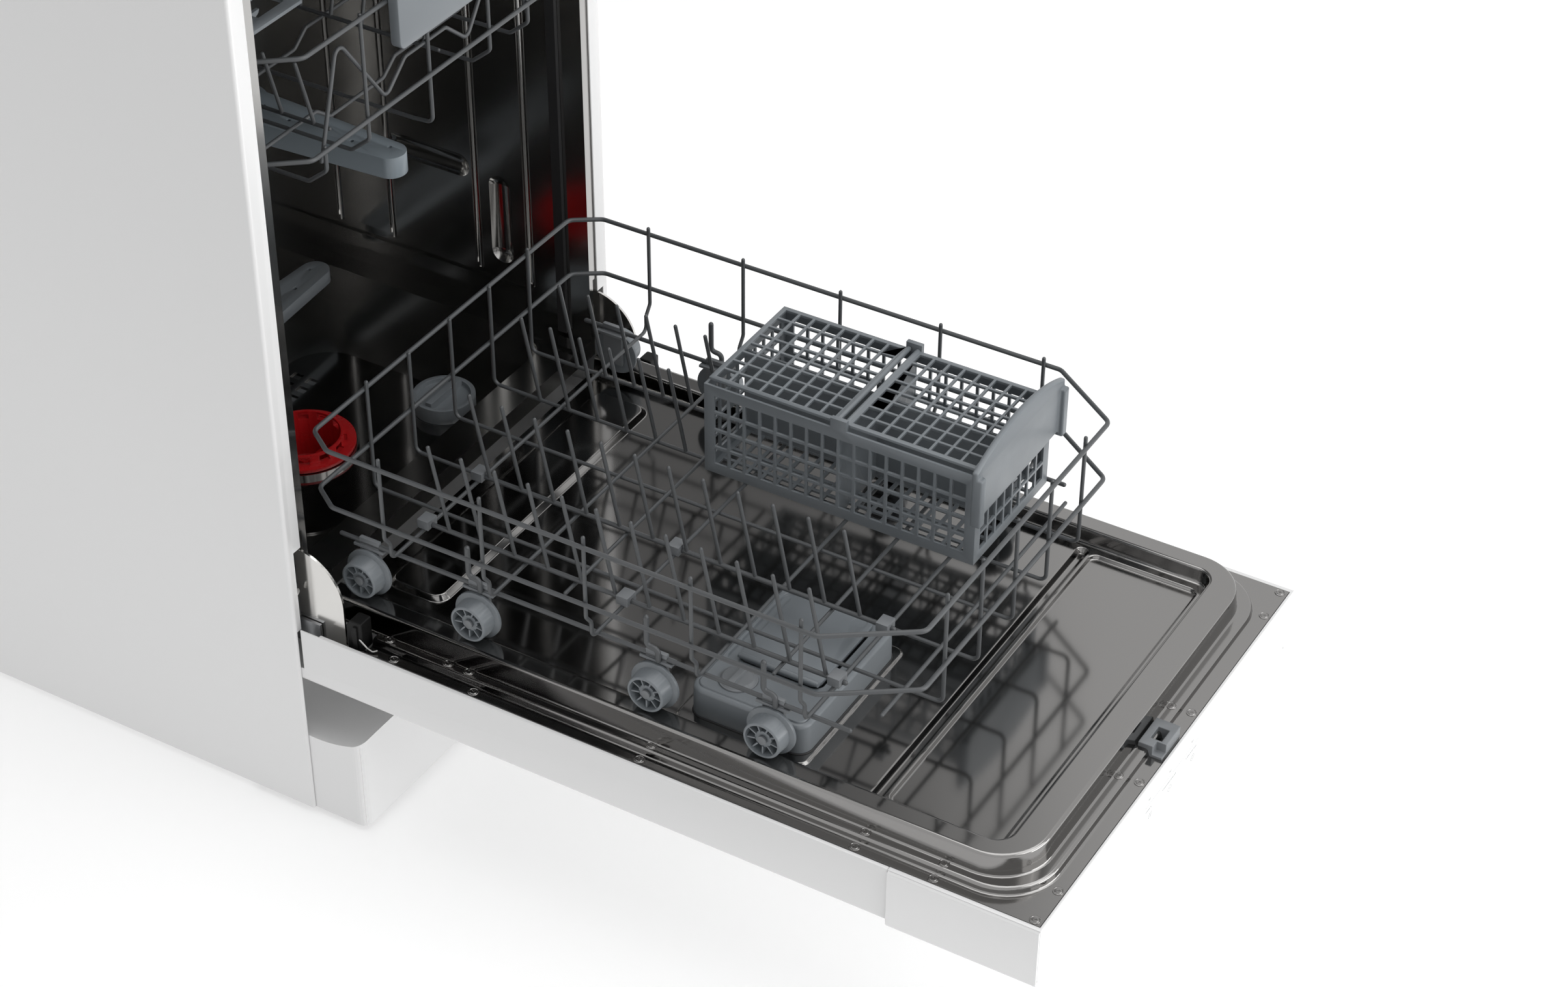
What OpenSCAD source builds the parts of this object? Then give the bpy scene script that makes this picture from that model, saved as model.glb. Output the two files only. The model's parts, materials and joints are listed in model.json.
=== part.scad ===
// Freestanding slimline dishwasher, door open, lower rack pulled out onto the door.
// X runs to the user's right, Y to the back, Z up. The origin lies on the floor in the middle
// of the footprint that the machine has with its door open. All sizes are in millimetres.
// The modules count Y from the cabinet's front edge, and place() sets them into that frame.

/* [Cabinet] */
// Overall width of the cabinet
body_w = 448; // [430:1:470]
// Overall height with worktop and feet
body_h = 850; // [835:1:870]
// Depth of the side panels, front edge to back
body_d = 556; // [553:1:600]
// Sheet thickness of side panels, back panel and door tray
panel_t = 1.2; // [0.8:0.1:1.6]
// Width of the side panels' front return above the door hinge
return_w = 16.3; // [14:0.1:18]
// Width of the front return beside the hinge plates
return_mid_w = 7.4; // [6.5:0.1:9]
// Width of the front return beside the open door
return_low_w = 2.3; // [1.8:0.1:2.4]
// Bend radius of the side panels' front edge
bend_r = 3; // [2.6:0.1:4]
// Thickness of the worktop
top_t = 21; // [18:1:30]
// How far the worktop reaches in front of the side panels
top_front = 28; // [20:1:40]
// Free height under the side panels
foot_gap = 6; // [4:1:12]
// Diameter of the levelling feet
foot_d = 38; // [30:1:46]

/* [Tub] */
// Inner width of the steel tub
tub_w = 396; // [392:1:400]
// Inner depth of the tub, front flange to back wall
tub_d = 540; // [539:1:548]
// Height of the tub's ceiling above the floor
tub_top = 808; // [790:1:812]
// Sheet thickness of the tub and the door liner
tub_t = 1; // [0.8:0.1:1.4]
// Width of the basin between the two wheel ledges
basin_w = 357; // [350:1:357]
// Height of the basin floor
basin_z = 178; // [172:1:180]
// Radius of the tub's upright back corners
tub_r = 30; // [20:1:40]
// Radius of the sump well
sump_r = 55; // [50:1:56]
// Radius of the upright beads pressed into the side walls
bead_r = 4; // [3:0.5:5]
// Thickness of the rubber gasket round the tub mouth
gasket_t = 4; // [3:0.5:4.5]

/* [Door] */
// Height of the hinge pins above the floor
hinge_z = 186; // [184:1:190]
// How far the hinge pins lie in front of the cabinet's front edge
hinge_y = 6; // [5:0.5:8]
// Thickness of the door
door_t = 51; // [48:1:54]
// Gap between each side of the door and the cabinet's side
door_gap = 2.5; // [2.3:0.1:3.5]
// Hinge pins to the top edge of the door
door_reach = 639.6; // [630:0.1:641]
// Hinge pins to the bottom edge of the door skirt
door_skirt = 90; // [84:1:92]
// Height of the control console, measured down from the door's top edge
console_h = 122; // [110:1:130]
// First step of the pressed liner
liner_step = 6; // [4:0.5:8]
// Height of the liner's raised border over its outer flange
plateau_h = 24.5; // [23:0.5:25.5]
// Corner radius of the border
plateau_r = 38; // [25:1:45]
// Depth of the recess inside the border
recess_d = 13; // [9:0.5:14]
// Width of the border across the door's top end
border_w = 26; // [20:1:30]
// Depth of the panel and height of the block that are pressed into the recess floor
press_d = 3; // [1.5:0.5:3.5]
// Clearance between the plinth and the swinging door skirt
skirt_clear = 3; // [2:0.5:5]
// Radius of the hinge pins
hinge_pin_r = 4; // [3:0.5:5]

/* [Lower rack] */
// Half width over the rack's rim wires, to their centres
rack_half_w = 190; // [186:0.5:190.5]
// Distance from the cabinet's front edge to the rack's front wires
rack_reach = 508; // [500:1:512]
// Length of the rack
rack_len = 512; // [500:1:514]
// Height of the rim over the rack floor
rack_rim_h = 93; // [80:1:105]
// Height of the middle rail over the rack floor
rack_mid_h = 39.7; // [30:0.1:50]
// Diameter of the rim wires
rim_d = 3.8; // [3:0.1:4.4]
// Diameter of the floor wires, posts and tines
wire_d = 3.2; // [2.6:0.1:3.6]
// Width of the rack's cut corners across the front
cut_x = 44; // [36:1:50]
// Length of the rack's cut corners along the sides
cut_y = 63; // [54:1:72]
// Plate tines between two cross wires of the rack floor
tines_per_field = 3; // [2:1:4]
// Length of the plate tines
tine_h = 74; // [60:1:84]
// Lean of the plate tines
tine_lean = 12; // [0:1:16]
// Radius of the wheels' flanges
wheel_flange_r = 20.3; // [18:0.1:20.6]
// Radius of the wheels' treads
wheel_tread_r = 15.5; // [14:0.1:16]
// Width of the wheels
wheel_w = 16; // [14:0.5:16]
// Radius of the axle pins
axle_r = 2.5; // [2:0.1:3]
// Number of spokes in a wheel
spokes = 9; // [6:1:12]

/* [Upper rack] */
// Half width over the upper rack's rim wires
upper_half_w = 176; // [170:0.5:177]
// Upper rack's front wires behind the cabinet's front edge
upper_front = 2; // [0:1:12]
// Length of the upper rack
upper_len = 470; // [450:1:484]
// Height of the upper rack's floor above the floor of the room
upper_z = 545; // [538:1:552]
// Height of the upper rack's rim over its floor
upper_rim_h = 114; // [95:1:120]
// Radius of the rack rollers
roller_r = 9; // [8:0.5:10]

/* [Cutlery basket] */
// Width of the basket
basket_w = 124; // [110:1:128]
// Length of the basket
basket_l = 240; // [220:1:244]
// Height of the basket's body
basket_h = 83; // [70:1:90]
// Wall of the basket
basket_t = 2; // [1.6:0.1:2.6]
// Pitch of the basket's lattice
lattice = 13.5; // [11:0.5:16]

/* [Spray arms] */
// Reach of the lower spray arm
arm_len = 165; // [150:1:168]
// Reach of the upper spray arm
upper_arm_len = 165; // [150:1:170]
// Width of the spray arms near the hub
arm_w = 46; // [36:1:52]
// Thickness of the spray arms
arm_t = 12; // [9:0.5:14]

/* [Clearances] */
// Gap between parts that are clipped or set into each other
fit = 0.3; // [0.2:0.05:0.5]
// Radial clearance of shafts that turn in their bores
run = 0.06; // [0.03:0.01:0.09]

/* [Hidden] */
$fn = 48;
half_w = body_w / 2;
top_z = body_h - top_t;
door_half = half_w - door_gap;
door_in_z = hinge_z + hinge_y;
door_out_z = door_in_z - door_t;
door_end_y = -hinge_y - door_reach;
skirt_y = door_skirt - hinge_y;
console_y = door_end_y + console_h;
plateau_z = door_in_z + plateau_h;
tub_half = tub_w / 2;
ledge_z = plateau_z;
basin_half = basin_w / 2;
basin_y0 = 32;
basin_y1 = tub_d - 24;
sump_pos = [-14, 152];
sump_bottom = 68;
duct_z = 134;
arm_pos = [0, 262];
arm_z = basin_z + 38;
upper_arm_pos = [0, upper_front + 198];

// The liner's outline, seen from the inside of the door
liner_half = door_half - 3.8;
liner_end = door_end_y + 2.6;
liner_low = -62;
step_half = liner_half - 10.2;
step_end = liner_end + 12;
plateau_half = tub_half - 1.6;
plateau_end = liner_end + 31;
plateau_low = -14;
recess_z = plateau_z - recess_d;
recess_end = plateau_end + border_w;

// The detergent dispenser on the recess floor
disp_x0 = -163;
disp_x1 = -22;
disp_y0 = -421;
disp_y1 = -320;
disp_h = 29.5;
disp_r = 10;

// The latch in the middle of the door's top edge
latch_y = door_end_y + 14;
latch_w = 32;
latch_l = 20;
latch_h = 10;

// Lower rack heights and stations
tread_cone = 1;
hub_z = plateau_z + wheel_tread_r + tread_cone + fit;
floor_z = hub_z + 24.7;
rim_z = floor_z + rack_rim_h;
mid_z = floor_z + rack_mid_h;
rack_front = -rack_reach;
rack_back = rack_front + rack_len;
wheel_y = [-400, -300, -141, -39];
wheel_x = rack_half_w;
keel_x = rack_half_w - 18.5;
post_in = (rim_d + wire_d) / 2 - 1.1;
post_rise = 7;
wire_step = 0.3;
stub = 6;
riser = 8;
side_riser = 12;
side_posts = [for (i = [0 : 4]) rack_front + 77 + i * 91.2];
tine_pitch = 91.2 / tines_per_field;
end_posts = [-110, -55, 0, 55, 110];
tine_x = [-134, -62];
cross_z = floor_z + wire_d - 0.6;
cross_top = cross_z + wire_d / 2;
tine_axle_r = 2;
tine_z = cross_top + tine_axle_r + fit;
tine_row = [side_posts[0] - 7, side_posts[4] + 7];

// Cutlery basket, standing in the right front part of the lower rack
basket_x = 100;
basket_y0 = -452;
basket_z = cross_top + fit;

// Buttons in the console, on its outer face
button_y = door_end_y + 34;
button_x = [-186, 186];
button_r = 9;
button_travel = 2;

// Cord gland, inlet and drain at the back
port_z = 70;
spigot_out = 29.6;
spigot_grip = 20;

// From the cabinet's front edge to the middle of the footprint
origin_y = -(door_end_y + body_d + spigot_out) / 2;

// Sets a piece into the frame whose origin is the middle of the machine's footprint
module place() {
    translate([0, origin_y, 0]) children();
}

// A box between two opposite corners
module block(a, b) {
    translate(a) cube(b - a);
}

// A rectangle between x0, x1 and y0, y1 with round corners
module round_rect(x0, x1, y0, y1, r) {
    translate([x0 + r, y0]) square([x1 - x0 - 2 * r, y1 - y0]);
    translate([x0, y0 + r]) square([x1 - x0, y1 - y0 - 2 * r]);
    for (x = [x0 + r, x1 - r])
        for (y = [y0 + r, y1 - r])
            translate([x, y]) circle(r);
}

// A round-cornered slab
module slab(x0, x1, y0, y1, z0, z1, r) {
    translate([0, 0, z0]) linear_extrude(z1 - z0) round_rect(x0, x1, y0, y1, r);
}

// A straight wire or rod between two points
module rod(a, b, d) {
    v = b - a;
    translate(a)
        rotate([0, acos(v[2] / norm(v)), atan2(v[1], v[0])])
            cylinder(d = d, h = norm(v), $fn = 24);
}

// Overrun of a wire past its bend at point b, so that the two stretches close the corner
function overrun(a, b, c, d) =
    d * 0.45 * tan(acos(min(1, (b - a) * (c - b) / (norm(b - a) * norm(c - b)))) / 2);

// One straight stretch of a wire from b to c, between the stretches a-b and c-e
module stretch(a, b, c, e, d, shift) {
    u = (c - b) / norm(c - b);
    rod(b - u * (a == b ? 0 : overrun(a, b, c, d)) + shift, c + u * (c == e ? 0 : overrun(b, c, e, d)) + shift, d);
}

// Small sideways step of every second stretch, out of the plane in which the wire is bent
function side_step(pts, i) =
    let (n = cross(pts[1] - pts[0], pts[2] - pts[1])) n / norm(n) * (i % 2 - 0.5) * wire_step;

// A wire bent in one plane through a list of points
module wire(pts, d) {
    k = len(pts) - 1;
    for (i = [0 : k - 1])
        stretch(pts[max(i - 1, 0)], pts[i], pts[i + 1], pts[min(i + 2, k)], d, side_step(pts, i));
}

// A bent wire that closes on itself, through an even number of points
module loop(pts, d) {
    n = len(pts);
    for (i = [0 : n - 1])
        stretch(pts[(i + n - 1) % n], pts[i], pts[(i + 1) % n], pts[(i + 2) % n], d, side_step(pts, i));
}

// A cylinder lying along X
module x_cyl(x0, x1, y, z, r) {
    translate([x0, y, z]) rotate([0, 90, 0]) cylinder(r = r, h = x1 - x0);
}

// A cylinder lying along Y
module y_cyl(x, y0, y1, z, r) {
    translate([x, y0, z]) rotate([-90, 0, 0]) cylinder(r = r, h = y1 - y0);
}

// Draws its children on both sides of the middle plane
module both_sides() {
    children();
    mirror([1, 0, 0]) children();
}

// A flat profile given in Y and Z, pulled along X from x0 to x1
module yz_prism(x0, x1) {
    translate([x0, 0, 0]) rotate([90, 0, 90]) linear_extrude(x1 - x0) children();
}

// Cabinet shell

// Plan of a side panel: the plate, its front bend, the front return and the back return
module panel_plan(ret) {
    translate([half_w - panel_t, bend_r]) square([panel_t, body_d - bend_r]);
    intersection() {
        translate([half_w - bend_r, bend_r]) difference() {
            circle(bend_r);
            circle(bend_r - panel_t);
        }
        translate([half_w - min(ret, bend_r), 0]) square([bend_r, bend_r]);
    }
    if (ret > bend_r)
        translate([half_w - ret, 0]) square([ret - bend_r, panel_t]);
    translate([half_w - 14, body_d - panel_t]) square([14, panel_t]);
}

module side_panel() {
    mid_z0 = hinge_z + 2.6;
    mid_z1 = hinge_z + 77;
    place() color("whitesmoke") {
        translate([0, 0, foot_gap]) linear_extrude(mid_z0 - foot_gap) panel_plan(return_low_w);
        translate([0, 0, mid_z0]) linear_extrude(mid_z1 - mid_z0) panel_plan(return_mid_w);
        translate([0, 0, mid_z1]) linear_extrude(top_z - mid_z1) panel_plan(return_w);
        block([half_w - 12, 60, foot_gap], [half_w, body_d, foot_gap + panel_t]);
        block([half_w - 12, 40, top_z - panel_t], [half_w, body_d, top_z]);
    }
}

module side_panel_left() {
    mirror([1, 0, 0]) side_panel();
}

module side_panel_right() {
    side_panel();
}

module worktop() {
    place() color("white") difference() {
        slab(-half_w, half_w, -top_front, body_d, top_z, body_h, 4);
        slab(-half_w + 14, half_w - 14, 12, body_d - 12, top_z - 1, body_h - 6, 4);
        for (x = [-half_w / 2, half_w / 2])
            for (i = [-4 : 4])
                block([x + i * 14 - 3, body_d - 9, top_z - 1], [x + i * 14 + 3, body_d - 5, body_h + 1]);
    }
}

module back_panel() {
    low = port_z + 70;
    place() color("lightgray") difference() {
        union() {
            block([-half_w + 16, body_d - panel_t, low], [half_w - 16, body_d, top_z]);
            for (z = [low + 120 : 150 : top_z - 60])
                block([-half_w + 40, body_d - panel_t - 4, z], [half_w - 40, body_d - panel_t, z + 24]);
        }
        for (z = [low + 120 : 150 : top_z - 60])
            block([-half_w + 42, body_d - panel_t - 3, z + 2], [half_w - 42, body_d + 1, z + 22]);
    }
}

module base_tray() {
    h = 38;
    z0 = foot_gap + panel_t + fit;
    x1 = half_w - panel_t - fit;
    place() color("darkslategray") difference() {
        slab(-x1, x1, 74, body_d - panel_t - fit, z0, z0 + h, 8);
        slab(-x1 + 3, x1 - 3, 77, body_d - panel_t - fit - 3, z0 + 3, z0 + h + 1, 6);
        for (x = [-x1 + 34, x1 - 34])
            for (y = [104, body_d - 40])
                translate([x, y, z0 - 1]) cylinder(r = 5 + run, h = h);
    }
    place() color("darkslategray")
        for (x = [-x1 + 34, x1 - 34])
            for (y = [104, body_d - 40])
                translate([x, y, z0]) difference() {
                    cylinder(r = 12, h = h - 8);
                    translate([0, 0, -1]) cylinder(r = 5 + run, h = h);
                }
}

module levelling_feet() {
    x1 = half_w - panel_t - fit;
    place() color("black")
        for (x = [-x1 + 34, x1 - 34])
            for (y = [104, body_d - 40])
                translate([x, y, 0]) {
                    cylinder(d = foot_d, h = 3.4);
                    translate([0, 0, 3.4]) cylinder(d1 = foot_d, d2 = 20, h = 2.4);
                    cylinder(r = 5, h = 34);
                }
}

// The plinth's hollow top follows the circle on which the door skirt swings
module plinth_section(wall) {
    r = norm([door_skirt, door_t - hinge_y]) + skirt_clear;
    difference() {
        translate([-door_t + wall, foot_gap - wall]) square([door_t + 56 - 2 * wall, 140]);
        translate([-hinge_y, hinge_z]) circle(r + wall, $fn = 180);
        translate([-200, hinge_z - 60]) square([400, 200]);
    }
}

module plinth() {
    corner = 9;
    x1 = door_half - fit;
    place() color("white") difference() {
        intersection() {
            yz_prism(-x1, x1) plinth_section(0);
            translate([0, 0, -1]) linear_extrude(200) polygon(concat(
                [for (a = [0 : 15 : 90]) [-x1 + corner - corner * cos(a), -door_t + corner - corner * sin(a)]],
                [for (a = [90 : -15 : 0]) [x1 - corner + corner * cos(a), -door_t + corner - corner * sin(a)]],
                [[x1, 200], [-x1, 200]]));
        }
        yz_prism(-x1 + 2.5, x1 - 2.5) plinth_section(2.5);
    }
}

// Tub

// The tub's air space, grown by the sheet thickness for its outer skin
module tub_space(t) {
    beads = [62, 115, 207, 264, 356, 448];
    slab(-tub_half - t, tub_half + t, -60, tub_d + t, ledge_z - t, tub_top + t, tub_r + t);
    slab(-basin_half - t, basin_half + t, basin_y0 - t, basin_y1 + t, basin_z - t, ledge_z, 26 + t);
    flange_grooves(t);
    translate([sump_pos[0], sump_pos[1], 140]) cylinder(r = sump_r + t, h = 60);
    translate([arm_pos[0], arm_pos[1], basin_z - 8]) cylinder(r = 20 + t, h = 20);
    both_sides() {
        for (y = beads)
            translate([tub_half, y, ledge_z + 36 - t]) cylinder(r = bead_r + t, h = 540, $fn = 24);
        block([tub_half - 5, 60, ledge_z + 30 - t], [tub_half + 2.6 + t, tub_d - 40, ledge_z + 41 + t]);
        capsule([tub_half + 2 - 12, 90, ledge_z + 62], [tub_half + 2 - 12, 90, ledge_z + 126], 15 + t);
        capsule([tub_half + 2 - 12, 132, ledge_z + 136], [tub_half + 2 - 12, 200, ledge_z + 136], 15 + t);
    }
}

// Grooves across the sill in which the flanges of the rack wheels roll
module flange_grooves(t) {
    both_sides()
        block([basin_half - 7 - t, -60, hub_z - wheel_flange_r - 1.5 - t], [basin_half + t, 64, ledge_z + 1]);
}

module capsule(a, b, r) {
    rod(a, b, 2 * r);
    for (p = [a, b]) translate(p) sphere(r, $fn = 24);
}

// The front frame of the tub, open where the hinge plates pass
module tub_flange() {
    x1 = half_w - bend_r;
    difference() {
        block([-x1, panel_t + fit, hinge_z + 14], [x1, panel_t + fit + tub_t, top_z - fit]);
        block([-tub_half, -1, 0], [tub_half, 20, tub_top]);
        both_sides() block([tub_half + 5, -1, 0], [x1 + 1, 20, hinge_z + 90]);
    }
}

module tub() {
    y0 = panel_t + fit;
    place() color("silver") difference() {
        union() {
            difference() {
                tub_space(tub_t);
                block([-300, -100, 0], [300, y0, 900]);
            }
            tub_flange();
        }
        tub_space(0);
        translate([arm_pos[0], arm_pos[1], basin_z - 20]) cylinder(r = 17, h = 20);
        translate([sump_pos[0], sump_pos[1], 130]) cylinder(r = sump_r - 6, h = 20);
    }
    // The sill in front of the basin is folded down behind the bottom seal
    place() color("silver") difference() {
        block([-tub_half, y0, hinge_z + 14], [tub_half, y0 + tub_t, ledge_z]);
        flange_grooves(0);
    }
}

module tub_gasket() {
    x1 = tub_half - fit;
    z1 = tub_top - fit;
    z = upper_z + 62;
    place() color("black") difference() {
        translate([0, 33, 0]) rotate([90, 0, 0]) linear_extrude(9) difference() {
            round_rect(-x1, x1, ledge_z + 2, z1, 6);
            round_rect(-x1 + gasket_t, x1 - gasket_t, ledge_z - 8, z1 - gasket_t, 6);
        }
        // dips in the seal for the rollers of the upper rack
        both_sides() block([x1 - gasket_t - 1, 20, z - roller_r - 3], [tub_half - 1.9, 36, z + roller_r + 3]);
    }
}

module sump() {
    p = sump_pos;
    wall = 3;
    place() color("dimgray") difference() {
        union() {
            translate([p[0], p[1], sump_bottom]) cylinder(r = sump_r - tub_t - 1, h = 138 - sump_bottom);
            translate([p[0], p[1], duct_z]) cylinder(r = sump_r + 2, h = 4.7);
            y_cyl(p[0] + 24, p[1], p[1] + 72, sump_bottom + 20, 15);
            // arm bearing: duct under the tub floor, stem and cap
            slab(-24, 24, p[1] + 30, arm_pos[1] + 24, duct_z, duct_z + 4.7, 20);
            slab(-24, 24, p[1] + sump_r + 3, arm_pos[1] + 24, duct_z, basin_z - 8 - tub_t - fit, 12);
            translate([arm_pos[0], arm_pos[1], 142]) cylinder(r = 16, h = arm_z - fit - 142);
            translate([arm_pos[0], arm_pos[1], 142]) cylinder(r = 12, h = arm_z + arm_t + 1 - 142);
            translate([arm_pos[0], arm_pos[1], arm_z + arm_t + fit]) cylinder(r = 17, h = 4);
            x_cyl(p[0], p[0] + 74, p[1], sump_bottom + 18, 11);
        }
        translate([p[0], p[1], sump_bottom + wall]) cylinder(r = sump_r - tub_t - 1 - wall, h = 90);
        translate([arm_pos[0], arm_pos[1], 130]) cylinder(r = 9, h = arm_z - 130);
        y_cyl(p[0] + 24, p[1], p[1] + 90, sump_bottom + 20, 12);
        x_cyl(p[0], p[0] + 90, p[1], sump_bottom + 18, 8.5);
    }
}

module wash_pump() {
    p = [sump_pos[0] + 24, sump_pos[1] + 72 + fit, sump_bottom + 20];
    place() color("gray") {
        y_cyl(p[0], p[1], p[1] + 34, p[2], 44);
        y_cyl(p[0], p[1] + 34, p[1] + 46, p[2], 30);
        y_cyl(p[0], p[1] + 46, p[1] + 120, p[2], 38);
        y_cyl(p[0], p[1] + 120, p[1] + 128, p[2], 26);
        for (s = [-1, 1])
            block([p[0] + s * 30 - 6, p[1] + 60, foot_gap + 4.8], [p[0] + s * 30 + 6, p[1] + 100, p[2] - 20]);
        translate([arm_pos[0], arm_pos[1], p[2] + 10]) cylinder(r = 14, h = duct_z - fit - p[2] - 10);
    }
}

module drain_pump() {
    p = [sump_pos[0] + 74 + fit, sump_pos[1], sump_bottom + 18];
    place() color("darkslategray") {
        x_cyl(p[0], p[0] + 26, p[1], p[2], 26);
        x_cyl(p[0] + 26, p[0] + 62, p[1], p[2], 20);
        x_cyl(p[0] + 62, p[0] + 68, p[1], p[2], 12);
        block([p[0] + 8, p[1] - 12, foot_gap + 4.8], [p[0] + 22, p[1] + 12, p[2] - 20]);
    }
}

module inlet_valve() {
    y1 = body_d + 14;
    place() color("white") difference() {
        union() {
            y_cyl(150, body_d - 60, body_d - 4, port_z + 30, 15);
            y_cyl(150, body_d - 6, y1, port_z + 30, 13.2);
            y_cyl(150, body_d - 20, body_d - 14, port_z + 30, 20);
            block([138, body_d - 56, foot_gap + 4.8], [162, body_d - 20, port_z + 20]);
        }
        y_cyl(150, body_d - 30, y1 + 1, port_z + 30, 9.5);
    }
}

module drain_spigot() {
    place() color("dimgray") difference() {
        union() {
            y_cyl(100, body_d - 40, body_d + spigot_out, port_z + 30, 10);
            y_cyl(100, body_d + fit, body_d + spigot_out - spigot_grip, port_z + 30, 13);
            block([88, body_d - 40, foot_gap + 4.8], [112, body_d - 34, port_z + 44]);
        }
        y_cyl(100, body_d - 41, body_d + spigot_out + 1, port_z + 30, 8);
    }
}

module cord_gland() {
    place() color("black") difference() {
        union() {
            y_cyl(-160, body_d - 12, body_d + 16, port_z + 30, 7);
            y_cyl(-160, body_d - 10, body_d - 6, port_z + 30, 12);
            block([-166, body_d - 10, foot_gap + 4.8], [-154, body_d - 6, port_z + 24]);
        }
        y_cyl(-160, body_d - 13, body_d + 17, port_z + 30, 4);
    }
}

module filter_sheet() {
    p = sump_pos;
    place() color("gainsboro") difference() {
        slab(-116, 116, 62, 238, basin_z + fit, basin_z + fit + 1.2, 40);
        translate([p[0], p[1], 150]) cylinder(r = 41.5, h = 60);
        translate([96, 86, 150]) cylinder(r = 30, h = 60);
        for (i = [0 : 11])
            for (j = [0 : 1])
                block([-92 + i * 14, 200 + j * 16, 170], [-84 + i * 14, 210 + j * 16, 200]);
    }
    place() color("gainsboro") translate([p[0], p[1], basin_z + fit]) difference() {
        cylinder(r = 46, h = 5);
        translate([0, 0, -1]) cylinder(r = 41.5, h = 8);
    }
}

module feed_pipe() {
    y = tub_d - 12;
    z1 = upper_z - 26;
    place() color("slategray") difference() {
        union() {
            translate([0, y, ledge_z + 4]) cylinder(r = 10, h = z1 - ledge_z - 4);
            y_cyl(0, y - 22, y, z1 - 12, 10);
            slab(-16, 16, y - 2, y + 12 - fit, ledge_z + 60, ledge_z + 72, 2);
            slab(-16, 16, y - 2, y + 12 - fit, z1 - 80, z1 - 68, 2);
        }
        translate([0, y, ledge_z]) cylinder(r = 7.5, h = z1 - ledge_z - 6);
        y_cyl(0, y - 23, y, z1 - 12, 7.5);
    }
}

// Two C rails on the side walls carry the upper rack's rollers
module rack_rails() {
    z = upper_z + 62;
    lip = 3;
    h = roller_r + fit;
    both_sides() place() color("gainsboro") difference() {
        block([tub_half - 14, 40, z - h - 1.6], [tub_half, tub_d - 30, z + h + 1.6]);
        block([tub_half - 12.5, 39, z - h], [tub_half - 1.6, tub_d - 34, z + h]);
        block([tub_half - 20, 39, z - h + lip], [tub_half - 10, tub_d - 34, z + h - lip]);
    }
}

module hinge_brackets() {
    both_sides() place() color("gray") {
        difference() {
            union() {
                block([half_w - 13.5, -16, hinge_z - 12], [half_w - 11, 124, hinge_z + 10]);
                block([half_w - 13.5, 100, 45.8], [half_w - 11, 124, hinge_z + 10]);
                block([half_w - 13.5, 100, 45.8], [half_w - 4, 124, 48]);
                block([half_w - 13.5, 100, 120], [half_w - panel_t - fit, 124, 122]);
            }
        }
        x_cyl(half_w - 19, half_w - 11, -hinge_y, hinge_z, hinge_pin_r);
    }
}

// A coil spring stretched along Y, as one unbroken tube
function coil_point(a, x, y0, pitch, z, r) = [x + r * cos(a), y0 + pitch * a / 360, z + r * sin(a)];
module coil(x, y0, z, r, d, pitch, turns, per_turn) {
    steps = turns * per_turn;
    rings = [for (i = [0 : steps]) let (a = i * 360 / per_turn)
        [for (k = [0 : 4]) let (b = k * 72)
            coil_point(a, x, y0, pitch, z, r + d / 2 * cos(b)) + [0, d / 2 * sin(b), 0]]];
    pts = [for (ring = rings) for (p = ring) p];
    sides = [for (i = [0 : steps - 1]) for (k = [0 : 4])
        let (a = i * 5 + k, b = i * 5 + (k + 1) % 5)
            each [[a, a + 5, b], [b, a + 5, b + 5]]];
    caps = [[for (k = [0 : 4]) k], [for (k = [4 : -1 : 0]) steps * 5 + k]];
    polyhedron(points = pts, faces = concat(sides, caps));
}

module hinge_springs() {
    both_sides() place() color("silver") {
        coil(half_w - 12.5, 136, 66, 5.4, 2.4, 9.1, 10, 6);
        block([half_w - 13.5, 124 + fit, 60], [half_w - 11.5, 137, 72]);
        block([half_w - 13.5, 226, 60], [half_w - 11.5, 250, 72]);
        block([half_w - 13.5, 238, 45.8], [half_w - 11.5, 250, 72]);
    }
}

module latch_strike() {
    place() color("gainsboro") {
        block([-16, -1, tub_top + 3], [16, panel_t + fit, top_z - 2]);
        block([-6, -17, tub_top + 5], [6, -1, tub_top + 8]);
        block([-6, -17, tub_top + 1], [6, -13, tub_top + 8]);
    }
}

// Spray arms and filter

// A hollow arm with a round hub, tapering from the hub to both tips
module spray_arm(reach, thick) {
    tip = 26;
    difference() {
        union() {
            for (s = [0, 180]) rotate([0, 0, s]) linear_extrude(thick) {
                polygon([[0, -arm_w / 2], [reach - tip / 2, -tip / 2], [reach - tip / 2, tip / 2], [0, arm_w / 2]]);
                translate([reach - tip / 2, 0]) circle(tip / 2);
            }
            cylinder(r = arm_w / 2 + 4, h = thick);
        }
        for (s = [0, 180]) rotate([0, 0, s])
            translate([0, 0, 2]) linear_extrude(thick - 4)
                polygon([[0, -arm_w / 2 + 3], [reach - tip, -tip / 2 + 3], [reach - tip, tip / 2 - 3], [0, arm_w / 2 - 3]]);
        for (s = [0, 180]) rotate([0, 0, s])
            for (i = [1 : 5])
                translate([i * (reach - 12) / 5 - 4, (i % 2) * 8 - 4, thick - 3]) cylinder(r = 1.8, h = 4, $fn = 24);
        translate([0, 0, -1]) cylinder(r = 12 + run, h = thick + 2);
    }
}

module lower_spray_arm() {
    place() color("slategray") translate([arm_pos[0], arm_pos[1], arm_z]) spray_arm(arm_len, arm_t);
}

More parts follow.
